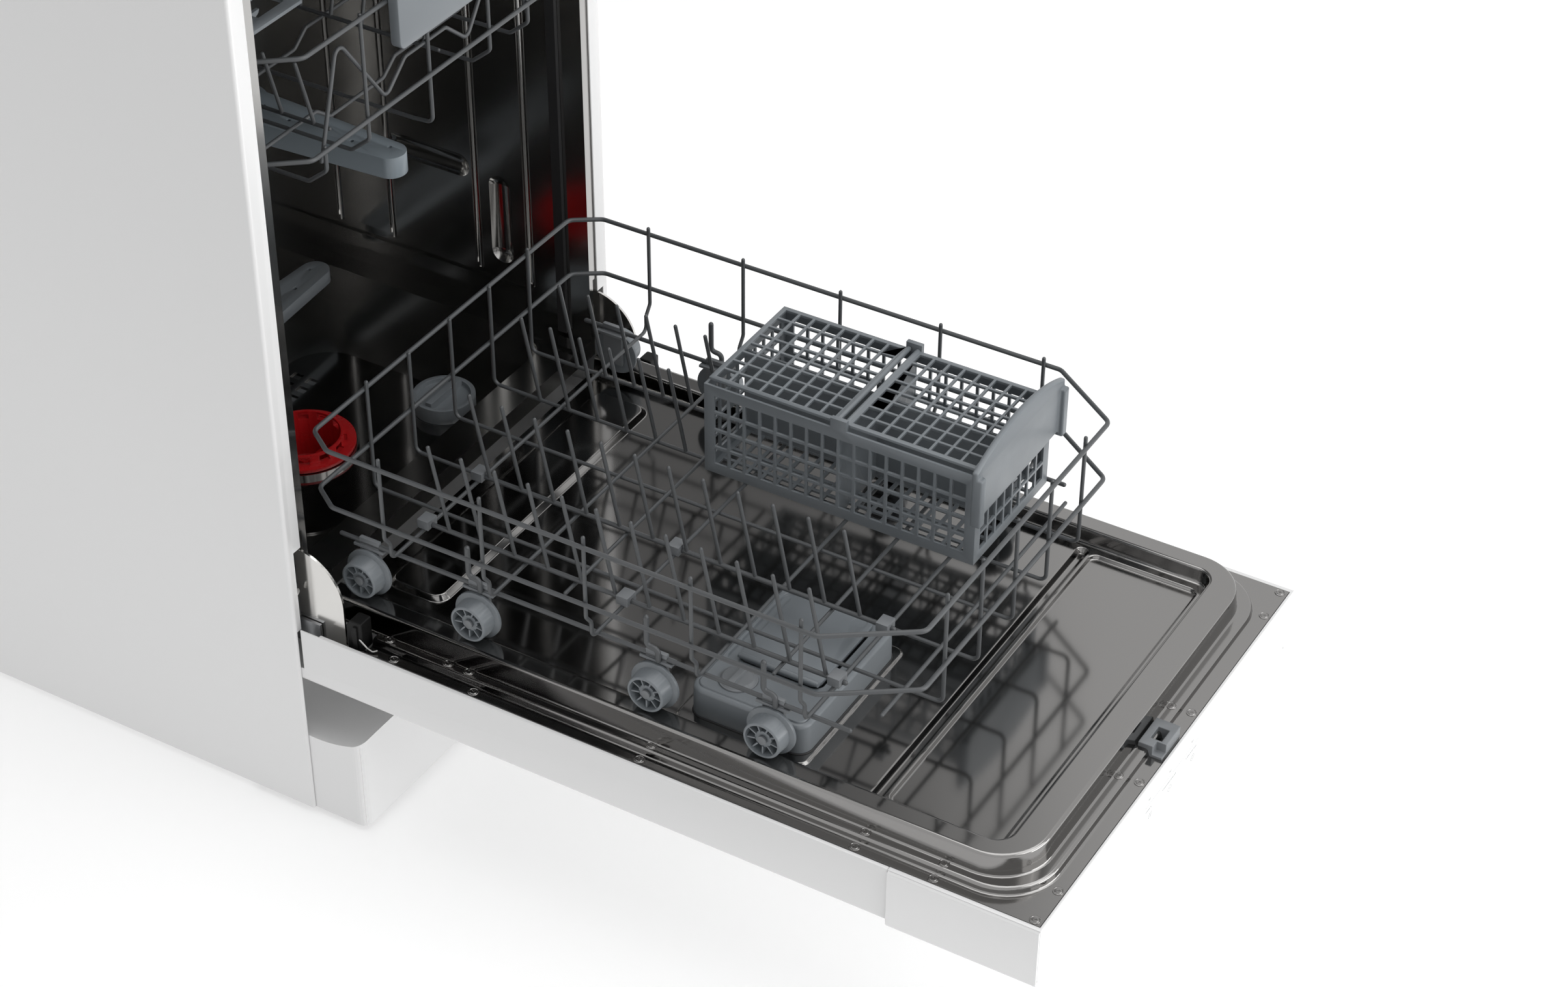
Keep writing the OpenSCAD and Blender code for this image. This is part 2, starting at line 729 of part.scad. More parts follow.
module filter_cup() {
    p = sump_pos;
    z0 = 148;
    z1 = basin_z + 16;
    place() color("firebrick") difference() {
        union() {
            translate([p[0], p[1], z0]) cylinder(r = 34, h = z1 - z0);
            translate([p[0], p[1], basin_z + 6]) cylinder(r = 44, h = 3);
            translate([p[0], p[1], z0]) cylinder(r = 41.2, h = basin_z - z0 + 6.5);
        }
        translate([p[0], p[1], z0 + 2]) cylinder(r = 31.5, h = 80);
        for (a = [0 : 30 : 330])
            translate([p[0], p[1], basin_z + 8.9]) rotate([0, 0, a + 8])
                block([26, -4.5, -1], [36, 4.5, 5]);
    }
    place() color("firebrick") for (a = [0, 90])
        translate([p[0], p[1], z0 + 2]) rotate([0, 0, a]) block([-31.8, -1.2, 0], [31.8, 1.2, 14]);
}

module salt_cap() {
    place() color("slategray") translate([96, 86, basin_z + fit]) {
        difference() {
            cylinder(r = 27, h = 14);
            translate([0, 0, 10]) cylinder(r = 23, h = 6);
        }
        block([-22.5, -3, 9], [22.5, 3, 17]);
    }
}

// Door

module door_panel() {
    z1 = door_in_z - 0.2;
    place() color("white") difference() {
        tray_solid(console_y + fit, skirt_y, 0, z1);
        tray_solid(console_y - 5, skirt_y - panel_t, panel_t, z1 - panel_t);
        block([-door_half + 3.5, console_y - 5, z1 - 10], [door_half - 3.5, skirt_y + 5, z1 + 5]);
        both_sides() block([door_half - 20, -20, door_out_z + 12], [door_half - panel_t, skirt_y + 5, z1 + 5]);
        block([-300, -2.5, door_out_z + 12], [300, skirt_y + 5, z1 + 5]);
    }
}

// A bar with the door's cross section and rounded outer edges
module tray_solid(y0, y1, inset, z1) {
    r = 3;
    translate([0, y1, 0]) rotate([90, 0, 0]) linear_extrude(y1 - y0) intersection() {
        round_rect(-door_half + inset, door_half - inset, door_out_z + inset, z1 + 20, r);
        translate([-300, 0]) square([600, z1]);
    }
}

// The liner's pressed form; t shrinks it for the underside of the sheet
module liner_form(t) {
    panel = 168;
    raised = 152;
    block([-liner_half, liner_end, door_in_z - 3], [liner_half, liner_low, door_in_z - 0.2]);
    slab(-step_half + t, step_half - t, step_end + t, liner_low + 40, door_in_z - 3, door_in_z + liner_step, 45 - t);
    difference() {
        slab(-plateau_half + t, plateau_half - t, plateau_end + t, plateau_low - t, door_in_z - 3, plateau_z, plateau_r - t);
        // recess inside the border on which the wheels roll, open toward the tub
        slab(-basin_half - t, basin_half + t, recess_end - t, plateau_low + 60, recess_z, plateau_z + 9, 22 + t);
        // pressed panel near the door's top end
        slab(-panel - t, panel + t, recess_end + 8 - t, recess_end + 104 + t, recess_z - press_d, plateau_z + 9, 14 + t);
        // cross channel
        slab(-panel - t, panel + t, recess_end + 110 - t, recess_end + 124 + t, recess_z - press_d * 1.4, plateau_z + 9, 5 + t);
    }
    // raised block near the hinge
    slab(-raised + t, raised - t, plateau_low - 74 + t, plateau_low - 20 - t, recess_z - press_d, recess_z + press_d, 12 - t);
}

module door_liner() {
    t = tub_t;
    place() color("silver") difference() {
        intersection() {
            liner_form(0);
            union() {
                block([-300, -900, 0], [300, liner_low, 400]);
                block([-plateau_half - 0.01, liner_low - 1, 0], [plateau_half + 0.01, 0, 400]);
            }
        }
        translate([0, 0, -t]) liner_form(t);
        block([-liner_half - 1, liner_end - 1, door_in_z - 20], [liner_half + 1, liner_low - 0.5, door_in_z - 0.2 - t]);
        block([-300, liner_low - 1, door_in_z - 20], [300, 0, door_in_z - 0.2 - t]);
        // window for the dispenser
        slab(disp_x0 + 4 - fit, disp_x1 - 4 + fit, disp_y0 + 4 - fit, disp_y1 - 4 + fit, recess_z - 9, recess_z + 9, disp_r - 3);
        // window for the latch
        block([-latch_w / 2 - fit, latch_y - latch_l / 2 - fit, door_in_z - 9],
              [latch_w / 2 + fit, latch_y + latch_l / 2 + fit, door_in_z + 19]);
    }
}

module console() {
    z1 = door_in_z - 0.2;
    w = 2.5;
    place() color("white") difference() {
        tray_solid(door_end_y, console_y, 0, z1);
        tray_solid(door_end_y + 2.2, console_y + 5, w, z1 - w);
        block([-door_half + 3.5, door_end_y + 2.2, z1 - 10], [door_half - 3.5, console_y + 5, z1 + 5]);
        // finger recess along the console's lower edge
        block([-62, console_y - 34, door_out_z - 1], [62, console_y - 8, door_out_z + 10]);
        for (x = button_x)
            translate([x, button_y, door_out_z - 1]) cylinder(r = button_r + fit, h = 10);
    }
    // scoop behind the finger recess
    place() color("white") difference() {
        block([-65, console_y - 37, door_out_z + w - 0.5], [65, console_y - 5, door_out_z + 24]);
        block([-62, console_y - 34, door_out_z - 1], [62, console_y - 8, door_out_z + 21]);
    }
    // guides that hold the buttons
    place() color("white") for (x = button_x)
        translate([x, button_y, door_out_z + w - 0.5]) difference() {
            cylinder(r = button_r + 3, h = 9);
            translate([0, 0, -1]) cylinder(r = button_r + fit, h = 12);
        }
}

module button(x) {
    place() color("gainsboro") translate([x, button_y, door_out_z - 2.2]) {
        cylinder(r = button_r, h = 11);
        translate([0, 0, 14.4]) cylinder(r = button_r + 2, h = 1.6);
        cylinder(r = button_r - 3, h = 15);
    }
}

module power_button() {
    button(button_x[0]);
}

module start_button() {
    button(button_x[1]);
}

module dispenser() {
    x0 = disp_x0;
    x1 = disp_x1;
    z1 = recess_z + disp_h;
    place() color("slategray") difference() {
        union() {
            slab(x0, x1, disp_y0, disp_y1, recess_z + fit, z1, disp_r);
            slab(x0 + 4, x1 - 4, disp_y0 + 4, disp_y1 - 4, recess_z - 16.5, recess_z + 1, disp_r - 3);
        }
        // detergent chamber
        slab(x0 + 46, x1 - 12, disp_y0 + 14, disp_y1 - 14, recess_z - 2.5, z1 + 1, 8);
        // seat of the rinse-aid cap
        translate([x0 + 24, disp_y1 - 30, z1 - 8]) cylinder(r = 15 + fit, h = 10);
        // shallow seat round the lid
        slab(x0 + 40, x1 - 6, disp_y0 + 8, disp_y1 - 8, z1 - 2.6, z1 + 1, 8);
    }
    place() color("slategray") for (y = [disp_y0 + 12, disp_y1 - 12])
        block([x0 + 41, y - 3, z1 - 2.7], [x0 + 44, y + 3, z1 + 2]);
}

module dispenser_lid() {
    x0 = disp_x0;
    x1 = disp_x1;
    z1 = recess_z + disp_h;
    place() color("slategray") difference() {
        union() {
            slab(x0 + 47, x1 - 6.5, disp_y0 + 16, disp_y1 - 16, z1 - 2.3, z1 + 1.2, 7);
            y_cyl(x0 + 48, disp_y0 + 16, disp_y1 - 16, z1 + 1.4, 2.4);
        }
        translate([x1 - 14, disp_y0 + 26, z1 + 0.6]) cylinder(r = 6, h = 3);
    }
}

module rinse_cap() {
    z1 = recess_z + disp_h;
    place() color("gray") translate([disp_x0 + 24, disp_y1 - 30, z1 - 7.7]) {
        cylinder(r = 15, h = 9);
        translate([0, 0, 9]) cylinder(r1 = 14, r2 = 12, h = 2);
        block([-11, -2.5, 10], [11, 2.5, 14]);
    }
}

module door_latch() {
    z0 = door_in_z - 10;
    y = latch_y;
    place() color("slategray") difference() {
        block([-latch_w / 2, y - latch_l / 2, z0], [latch_w / 2, y + latch_l / 2, door_in_z + latch_h]);
        block([-7, y - 5, door_in_z - 4], [7, y + 4, door_in_z + latch_h + 1]);
        block([-latch_w / 2 - 1, y - latch_l / 2 - 1, door_in_z + 2], [-9, y - 2, door_in_z + latch_h + 1]);
    }
    place() color("gray") block([-4, y - 5, door_in_z - 4], [4, y - 3, door_in_z + 5]);
}

// Polished quarter plates: a bar inside the door, and a cam that stands up at the hinge
module hinge_arms() {
    x0 = half_w - 16.2;
    x1 = half_w - 14.2;
    cam_y = 11 - hinge_y;
    cam_z = hinge_z + 33;
    cam_r = 43;
    place() color("silver") both_sides() difference() {
        union() {
            yz_prism(x0, x1) intersection() {
                union() {
                    translate([cam_y, cam_z]) circle(cam_r);
                    translate([cam_y - cam_r, hinge_z - 20]) square([cam_r, 53]);
                }
                translate([cam_y - cam_r, hinge_z - 20]) square([cam_r, 140]);
            }
            block([x0, -200, hinge_z - 24], [x1, -4, hinge_z - 2]);
            block([x0 - 14, -200, hinge_z - 24], [x1, -150, hinge_z - 22]);
        }
        x_cyl(x0 - 1, x1 + 1, -hinge_y, hinge_z, hinge_pin_r + run);
    }
}

// Lower rack

// Side walls: rim, middle rail, posts and keel wire, with cut ends that meet the end walls
module lower_rack_sides() {
    y0 = rack_front + cut_y + stub;
    y1 = rack_back - 24 - stub;
    place() color("dimgray") both_sides() {
        rod([rack_half_w, y0, rim_z], [rack_half_w, y1, rim_z], rim_d);
        rod([rack_half_w, y0, mid_z], [rack_half_w, y1, mid_z], rim_d);
        for (y = side_posts)
            wire([[rack_half_w - post_in, y, rim_z + post_rise], [rack_half_w - post_in, y, floor_z + 26],
                  [rack_half_w - 9, y, floor_z + 17], [rack_half_w - 9, y, floor_z + side_riser]], wire_d);
    }
}

// One end wall: two bent rails and the posts that rise from the floor's long wires
module rack_end(y, cx, cy, s) {
    for (z = [rim_z, mid_z])
        wire([[-rack_half_w, y + s * (cy + stub), z], [-rack_half_w, y + s * cy, z], [-rack_half_w + cx, y, z],
              [rack_half_w - cx, y, z], [rack_half_w, y + s * cy, z], [rack_half_w, y + s * (cy + stub), z]], rim_d);
    for (x = end_posts)
        rod([x, y + s * post_in, floor_z + riser], [x, y + s * post_in, rim_z + (abs(x) > 100 ? post_rise : 1.2)], wire_d);
}

module lower_rack_ends() {
    place() color("dimgray") {
        rack_end(rack_front, cut_x, cut_y, 1);
        rack_end(rack_back, 16, 24, -1);
    }
}

// Floor: keels and long wires, cross wires on top, and the fixed tines
module lower_rack_floor() {
    y0 = rack_front + post_in;
    y1 = rack_back - post_in;
    place() color("dimgray") {
        for (x = end_posts)
            wire([[x, y0, floor_z + riser], [x, y0, floor_z], [x, y1, floor_z], [x, y1, floor_z + riser]], wire_d);
        for (x = [-keel_x, keel_x])
            rod([x, rack_front + cut_y - 18, floor_z], [x, rack_back - 16, floor_z], rim_d);
        for (y = side_posts)
            wire([[-rack_half_w + 9, y, floor_z + side_riser], [-rack_half_w + 9, y, cross_z],
                  [rack_half_w - 9, y, cross_z], [rack_half_w - 9, y, floor_z + side_riser]], wire_d);
        for (y = [side_posts[0] - 45, side_posts[0] + 45.6, side_posts[2] + 45.6])
            rod([-keel_x + 24, y, cross_z], [keel_x - 24, y, cross_z], wire_d);
        // fixed tines behind the cutlery basket
        for (x = [55, 110])
            for (i = [0 : 5])
                rod([x, -184 + i * 28, floor_z], [x, -184 + i * 28 + tine_h * sin(tine_lean), floor_z + tine_h], wire_d);
    }
}

// A fold-down row: an axle wire with leaning tines
module tine_row(x, shift) {
    z = tine_z;
    n = 4 * tines_per_field - 1;
    place() color("dimgray") {
        rod([x, tine_row[0], z], [x, tine_row[1], z], 2 * tine_axle_r);
        for (i = [0 : n])
            translate([0, side_posts[0] + shift + i * tine_pitch, 0])
                rod([x, 0, z], [x, tine_h * sin(tine_lean), z + tine_h], wire_d);
    }
}

module tine_row_outer() {
    tine_row(tine_x[0], tine_pitch * 0.3);
}

module tine_row_inner() {
    tine_row(tine_x[1], tine_pitch * 0.7);
}

// Clips on the cross wires, in which the fold-down rows turn
module tine_clips() {
    z0 = cross_top + fit;
    place() color("gray")
        for (x = tine_x)
            for (y = [side_posts[0], side_posts[2], side_posts[4]])
                translate([x, y, 0]) difference() {
                    block([-6, -5, z0 - fit], [6, 5, tine_z + 5.5]);
                    y_cyl(0, -6, 6, tine_z, tine_axle_r + run);
                }
}

// Brackets that hang from the keel wires, each with an axle pin and a head that keeps the wheel on
module wheel_carriers() {
    x_in = wheel_x - wheel_w - 0.8;
    place() color("gray") both_sides()
        for (y = wheel_y) {
            difference() {
                union() {
                    block([x_in - 3.4, y - 9, hub_z - 9], [x_in, y + 9, floor_z + 4.5]);
                    x_cyl(x_in - 3.4, x_in, y, hub_z, 9);
                    block([keel_x - 5, y - 14, hub_z + wheel_flange_r + fit], [keel_x + 3, y + 14, floor_z - rim_d / 2]);
                }
                y_cyl(keel_x, y - 20, y + 20, floor_z, rim_d / 2 + fit / 6);
            }
            x_cyl(x_in - 1, wheel_x - 2.5, y, hub_z, axle_r);
            x_cyl(wheel_x - 2.5, wheel_x - 0.6, y, hub_z, 3.6);
        }
}

// Rack wheel: a coned tread, an inner flange, a hub and open spokes on the outer face
module wheel(x, y) {
    s = x < 0 ? -1 : 1;
    translate([x, y, hub_z]) rotate([0, s * -90, 0]) {
        difference() {
            rotate_extrude() polygon([
                [axle_r + run, 3], [axle_r + run, wheel_w], [wheel_flange_r, wheel_w],
                [wheel_flange_r, wheel_w - 2.6], [wheel_tread_r + tread_cone, wheel_w - 3.4], [wheel_tread_r, 0.6],
                [wheel_tread_r - 0.6, 0], [wheel_tread_r - 2, 0], [wheel_tread_r - 2, 11], [7, 11], [7, 3]]);
            translate([0, 0, -1]) cylinder(r = axle_r + run, h = wheel_w + 2);
        }
        for (i = [0 : spokes - 1])
            rotate([0, 0, i * 360 / spokes]) block([6.5, -0.6, 2], [wheel_tread_r - 1.6, 0.6, 11.5]);
    }
}

module rack_wheel(i) {
    place() color("slategray") wheel((i % 2 == 0 ? -1 : 1) * wheel_x, wheel_y[floor(i / 2)]);
}

// Cutlery basket

// A lattice panel in its own plane
module lattice_panel(w, h, frame, bar) {
    nx = floor((w - 2 * frame) / lattice);
    ny = floor((h - 2 * frame) / lattice);
    px = (w - 2 * frame) / nx;
    py = (h - 2 * frame) / ny;
    difference() {
        square([w, h]);
        for (i = [0 : nx - 1])
            for (j = [0 : ny - 1])
                translate([frame + i * px + bar / 2, frame + j * py + bar / 2])
                    square([px - bar, py - bar]);
    }
}

module cutlery_basket() {
    x0 = basket_x - basket_w / 2;
    x1 = basket_x + basket_w / 2;
    y0 = basket_y0;
    y1 = basket_y0 + basket_l;
    t = basket_t;
    z = basket_z;
    h = basket_h;
    place() color("slategray") {
        translate([x0, y0, z]) linear_extrude(t) lattice_panel(basket_w, basket_l, 5, 3);
        for (x = [x0, x1 - t])
            translate([x, y0, z]) rotate([90, 0, 90]) linear_extrude(t) lattice_panel(basket_l, h, 8, 2.4);
        for (y = [y0 + t, y1])
            translate([x0, y, z]) rotate([90, 0, 0]) linear_extrude(t) lattice_panel(basket_w, h, 8, 2.4);
        block([x0, (y0 + y1) / 2 - 1, z], [x1, (y0 + y1) / 2 + 1, z + h]);
        block([basket_x - 1, y0, z], [basket_x + 1, y1, z + h - 4]);
        // two cheeks that carry the lids' pins
        for (x = [x0, x1 - 4])
            block([x, (y0 + y1) / 2 - 7, z + h - 1], [x + 4, (y0 + y1) / 2 + 7, z + h + 9]);
    }
}

// A grid lid beside the basket's middle, turning on a bar between the two cheeks
module basket_lid(s) {
    ym = basket_y0 + basket_l / 2 + s * 4;
    x0 = basket_x - basket_w / 2 + 4.4;
    w = basket_w - 8.8;
    l = basket_l / 2 - 6;
    z = basket_z + basket_h + fit;
    place() color("slategray") {
        translate([x0, s > 0 ? ym : ym - l, z + 1.6]) linear_extrude(2.4) lattice_panel(w, l, 3, 2.2);
        x_cyl(x0, x0 + w, ym, z + 3.2, 2.2);
    }
}

module basket_lid_front() {
    basket_lid(-1);
}

module basket_lid_back() {
    basket_lid(1);
}

// Curved handle plate across the basket's front end
module basket_handle() {
    half = 73;
    z0 = basket_z + basket_h - 34;
    bow = 15;
    r = (half * half + bow * bow) / (2 * bow);
    y1 = basket_y0 - fit;
    place() color("slategray") translate([basket_x, y1, 0]) {
        rotate([90, 0, 0]) linear_extrude(5) intersection() {
            translate([-half, z0]) square([2 * half, 80]);
            translate([0, z0 + 46 + bow - r]) circle(r, $fn = 180);
        }
        for (x = [-half, half - 8])
            translate([x, 0, 0]) block([0, -9, z0 - 4], [8, 0, z0 + 40]);
    }
}

// Upper rack

module upper_loop(z, inset) {
    h = upper_half_w - inset;
    y0 = upper_front + inset;
    y1 = upper_front + upper_len;
    loop([[-h, y0 + 34, z], [-h + 28, y0, z], [h - 28, y0, z], [h, y0 + 34, z],
          [h, y1 - 20, z], [h - 16, y1, z], [-h + 16, y1, z], [-h, y1 - 20, z]], rim_d);
}

module upper_rack() {
    low = upper_z;
    rim = upper_z + upper_rim_h;
    mid = upper_z + 30;
    h = upper_half_w;
    y0 = upper_front;
    y1 = upper_front + upper_len;
    e = post_in;
    place() color("dimgray") {
        upper_loop(rim, 0);
        upper_loop(mid, 0);
        // cross wires, rising along both sides
        for (y = [y0 + 74 : 86 : y1 - 40])
            wire([[-h + e, y, rim + 1.2], [-h + e, y, low + 12], [-h + 40, y, low], [-50, y, low],
                  [-34, y, low - 12], [34, y, low - 12], [50, y, low], [h - 40, y, low],
                  [h - e, y, low + 12], [h - e, y, rim + 1.2]], wire_d);
        // long wires, rising at both ends
        for (x = [-130, -78, 0, 78, 130])
            wire([[x, y0 + e, abs(x) > 100 ? mid + 1.2 : rim + 1.2], [x, y0 + e, low + (x == 0 ? -13 : 12)],
                  [x, y0 + 20, low - (x == 0 ? 14.4 : 2.4)], [x, y1 - 16, low - (x == 0 ? 14.4 : 2.4)],
                  [x, y1 - e, low + 12], [x, y1 - e, mid + 1.2]], wire_d);
        // zig-zag brace behind the front posts
        wire([[-h + 44, y0 + e + 2.3, mid - 10], [-104, y0 + e + 2.3, rim - 8], [-52, y0 + e + 2.3, mid + 4],
              [-26, y0 + e + 2.3, mid + 26], [26, y0 + e + 2.3, mid + 26], [52, y0 + e + 2.3, mid + 4],
              [104, y0 + e + 2.3, rim - 8], [h - 44, y0 + e + 2.3, mid - 10]], wire_d);
    }
}

module upper_tines() {
    y0 = upper_front + 60;
    place() color("dimgray")
        for (x = [-70, 70])
            for (i = [0 : 11])
                rod([x - sign(x) * 0, y0 + i * 30, upper_z + wire_d / 2 + 1.6],
                    [x + sign(x) * 16, y0 + i * 30, upper_z + 62], wire_d);
    place() color("dimgray")
        for (x = [-70, 70])
            rod([x, y0 - 14, upper_z + wire_d + fit], [x, y0 + 344, upper_z + wire_d + fit], wire_d);
}

// Slotted shelf that turns on the left rim wire of the upper rack
module cup_shelf() {
    x = -upper_half_w;
    z = upper_z + upper_rim_h + wire_step / 2;
    y0 = upper_front + 46;
    y1 = upper_front + 276;
    w = 88;
    posts = [upper_front + 74, upper_front + 246];
    place() color("slategray") translate([x, 0, z]) {
        difference() {
            union() {
                block([0, y0, 3.4], [w, y1, 6.2]);
                for (y = [posts[0] + 12, posts[1] - 60])
                    y_cyl(0, y, y + 48, 0, 5.6);
                for (y = [posts[0] + 12, posts[1] - 60])
                    block([0, y, -5.6], [6, y + 48, 5]);
                for (y = posts)
                    translate([0, y + 1.5, 0]) rotate([90, 0, 0]) linear_extrude(3)
                        polygon([[rim_d / 2 + 2.6, -36], [rim_d / 2 + 2.6, 4], [74, 4], [70, -4], [14, -36]]);
            }
            y_cyl(0, y0 - 1, y1 + 1, 0, rim_d / 2 + run);
            for (i = [0 : 6])
                for (j = [0 : 1])
                    block([14 + j * 36, y0 + 10 + i * 31, -1], [44 + j * 36, y0 + 33 + i * 31, 10]);
            for (y = posts)
                block([-7, y - 3, -7], [rim_d / 2 + 2.6, y + 3, 2.9]);
        }
    }
}

module upper_handle() {
    w = 100;
    z0 = upper_z + 76;
    y1 = upper_front - rim_d / 2 - fit;
    place() color("slategray") translate([0, y1, 0]) difference() {
        rotate([90, 0, 0]) linear_extrude(9) round_rect(-w / 2, w / 2, z0, z0 + 52, 6);
        block([-w / 2 + 3, -6.5, z0 + 3], [w / 2 - 3, 1, z0 + 34]);
    }
}

module rack_rollers() {
    z = upper_z + 62;
    place() color("gray") both_sides()
        for (y = [upper_front + 74, upper_front + 74 + 86 * 3]) {
            x_cyl(tub_half - 9.6, tub_half - 2.4, y, z, roller_r);
            x_cyl(upper_half_w - post_in + wire_d / 2, tub_half - 9, y, z, 4);
            block([upper_half_w - post_in + wire_d / 2, y - 8, z - 12], [upper_half_w + 2, y + 8, z + 12]);
        }
}

// Tube under the upper rack that brings water from the back to the upper arm
module upper_feed_tube() {
    p = upper_arm_pos;
    z = upper_z - 38;
    place() color("slategray") {
        difference() {
            union() {
                y_cyl(p[0], p[1], upper_front + upper_len + 8, z, 10);
                translate([p[0], p[1], z - 10]) cylinder(r = 18, h = 20);
                translate([p[0], p[1], z - 32]) cylinder(r = 12, h = 26);
                translate([p[0], p[1], z - 35]) cylinder(r = 15, h = 3.4);
            }
            y_cyl(p[0], p[1], upper_front + upper_len + 9, z, 7.5);
        }
        for (y = [p[1] + 4, upper_front + upper_len - 40])
            block([p[0] - 6, y - 5, z + 8], [p[0] + 6, y + 5, upper_z - 14.4 - wire_d / 2 - fit]);
    }
}

module upper_spray_arm() {
    p = upper_arm_pos;
    place() color("lightsteelblue") translate([p[0], p[1], upper_z - 38 - 31]) rotate([0, 0, 90])
        spray_arm(upper_arm_len, 18);
}

side_panel_left();
side_panel_right();
worktop();
back_panel();
base_tray();
plinth();
levelling_feet();
tub();
tub_gasket();
sump();
wash_pump();
drain_pump();
inlet_valve();
drain_spigot();
cord_gland();
filter_sheet();
feed_pipe();
rack_rails();
hinge_brackets();
hinge_springs();
latch_strike();
lower_spray_arm();
filter_cup();
salt_cap();
door_panel();
door_liner();
console();
power_button();
start_button();
dispenser();
dispenser_lid();
rinse_cap();
door_latch();
hinge_arms();
lower_rack_floor();
lower_rack_sides();
lower_rack_ends();
tine_row_outer();
tine_row_inner();
tine_clips();
wheel_carriers();
rack_wheel(0);  // wheel_1
rack_wheel(1);  // wheel_2
rack_wheel(2);  // wheel_3
rack_wheel(3);  // wheel_4
rack_wheel(4);  // wheel_5
rack_wheel(5);  // wheel_6
rack_wheel(6);  // wheel_7
rack_wheel(7);  // wheel_8
cutlery_basket();
basket_lid_front();
basket_lid_back();
basket_handle();
upper_rack();
upper_tines();
cup_shelf();
upper_handle();
rack_rollers();
upper_feed_tube();
upper_spray_arm();
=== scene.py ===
"""Slimline dishwasher with its door open and the lower rack standing on the door.

Sizes are written in millimetres, with y counted from the cabinet's front edge, and at() turns them
into the frame's metres. FRONT is where that edge lies in the frame.
"""
import bpy
import bmesh
import json
import math
from mathutils import Matrix, Vector
from mathutils.geometry import delaunay_2d_cdt

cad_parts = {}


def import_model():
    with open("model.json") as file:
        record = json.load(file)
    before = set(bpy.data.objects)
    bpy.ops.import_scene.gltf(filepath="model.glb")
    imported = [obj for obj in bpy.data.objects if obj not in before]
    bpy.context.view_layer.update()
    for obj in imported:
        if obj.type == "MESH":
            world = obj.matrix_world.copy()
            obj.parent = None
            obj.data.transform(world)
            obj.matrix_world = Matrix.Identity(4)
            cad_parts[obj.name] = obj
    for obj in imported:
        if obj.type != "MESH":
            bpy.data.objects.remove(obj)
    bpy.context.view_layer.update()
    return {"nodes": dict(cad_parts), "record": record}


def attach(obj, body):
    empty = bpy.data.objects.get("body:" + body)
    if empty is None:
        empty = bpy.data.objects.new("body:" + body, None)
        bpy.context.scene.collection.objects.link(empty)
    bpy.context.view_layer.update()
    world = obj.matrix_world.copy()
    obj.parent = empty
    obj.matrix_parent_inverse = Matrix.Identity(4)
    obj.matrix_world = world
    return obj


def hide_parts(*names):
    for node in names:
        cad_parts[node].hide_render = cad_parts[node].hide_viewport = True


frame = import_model()
NODES = frame["nodes"]
SCENE = bpy.context.scene
FRONT = 30.0


def at(x, y, z):
    """A place in millimetres, as a vector in the frame's metres."""
    return Vector((x / 1000, (y + FRONT) / 1000, z / 1000))


# heights and stations of the machine
DOOR_IN_Z = 192.0
DOOR_OUT_Z = 141.0
DOOR_END_Y = -645.6
CONSOLE_Y = -523.6
DOOR_HALF = 221.5
BORDER_Z = 216.5
RECESS_Z = BORDER_Z - 13
RACK_Z = 258.0
RIM_Z = 351.0
MID_Z = 297.7
RACK_FRONT = -508.0
RACK_BACK = 4.0
RACK_HALF = 190.0
UPPER_Z = 545.0
UPPER_RIM = 659.0
UPPER_HALF = 176.0
UPPER_FRONT = 2.0
UPPER_BACK = 472.0
POST_PITCH = 91.2
SIDE_POSTS = [-431.0 + POST_PITCH * i for i in range(5)]
POST_IN = 2.4

# wires: diameters, bend radii, and how far a tine leans back and stands up
RIM_WIRE = 3.8
WIRE = 3.2
RIM_BEND = 9
BEND = 6
WIRE_SIDES = 12
TINE_LEAN = 15.4
TINE_RISE = 74


# finishes
def finish(name, colour, rough, metal=0.0, coat=0.0, grain=None, mottle=None, tint=None, spec=0.5):
    """A procedural finish. grain is (scale, strength) of the bump, mottle (scale, amount) of the roughness
    variation, and tint (scale, second colour) of the colour variation."""
    mat = bpy.data.materials.new(name)
    mat.use_nodes = True
    nt = mat.node_tree
    shader = nt.nodes["Principled BSDF"]
    shader.inputs["Base Color"].default_value = (*colour, 1)
    shader.inputs["Roughness"].default_value = rough
    shader.inputs["Metallic"].default_value = metal
    shader.inputs["Coat Weight"].default_value = coat
    shader.inputs["Coat Roughness"].default_value = 0.08
    shader.inputs["Specular IOR Level"].default_value = spec
    place = nt.nodes.new("ShaderNodeTexCoord")

    def noise(scale, detail=3.0):
        tex = nt.nodes.new("ShaderNodeTexNoise")
        tex.inputs["Scale"].default_value = scale
        tex.inputs["Detail"].default_value = detail
        nt.links.new(place.outputs["Object"], tex.inputs["Vector"])
        return tex

    if mottle:
        tex = noise(mottle[0])
        ramp = nt.nodes.new("ShaderNodeMapRange")
        ramp.inputs["To Min"].default_value = max(0.02, rough - mottle[1])
        ramp.inputs["To Max"].default_value = rough + mottle[1]
        nt.links.new(tex.outputs["Fac"], ramp.inputs["Value"])
        nt.links.new(ramp.outputs["Result"], shader.inputs["Roughness"])
    if tint:
        tex = noise(tint[0], 5.0)
        mix = nt.nodes.new("ShaderNodeMix")
        mix.data_type = "RGBA"
        mix.inputs[6].default_value = (*colour, 1)
        mix.inputs[7].default_value = (*tint[1], 1)
        nt.links.new(tex.outputs["Fac"], mix.inputs[0])
        nt.links.new(mix.outputs[2], shader.inputs["Base Color"])
    if grain:
        tex = noise(grain[0], 4.0)
        bump = nt.nodes.new("ShaderNodeBump")
        bump.inputs["Strength"].default_value = grain[1]
        bump.inputs["Distance"].default_value = 0.0004
        nt.links.new(tex.outputs["Fac"], bump.inputs["Height"])
        nt.links.new(bump.outputs["Normal"], shader.inputs["Normal"])
    return mat


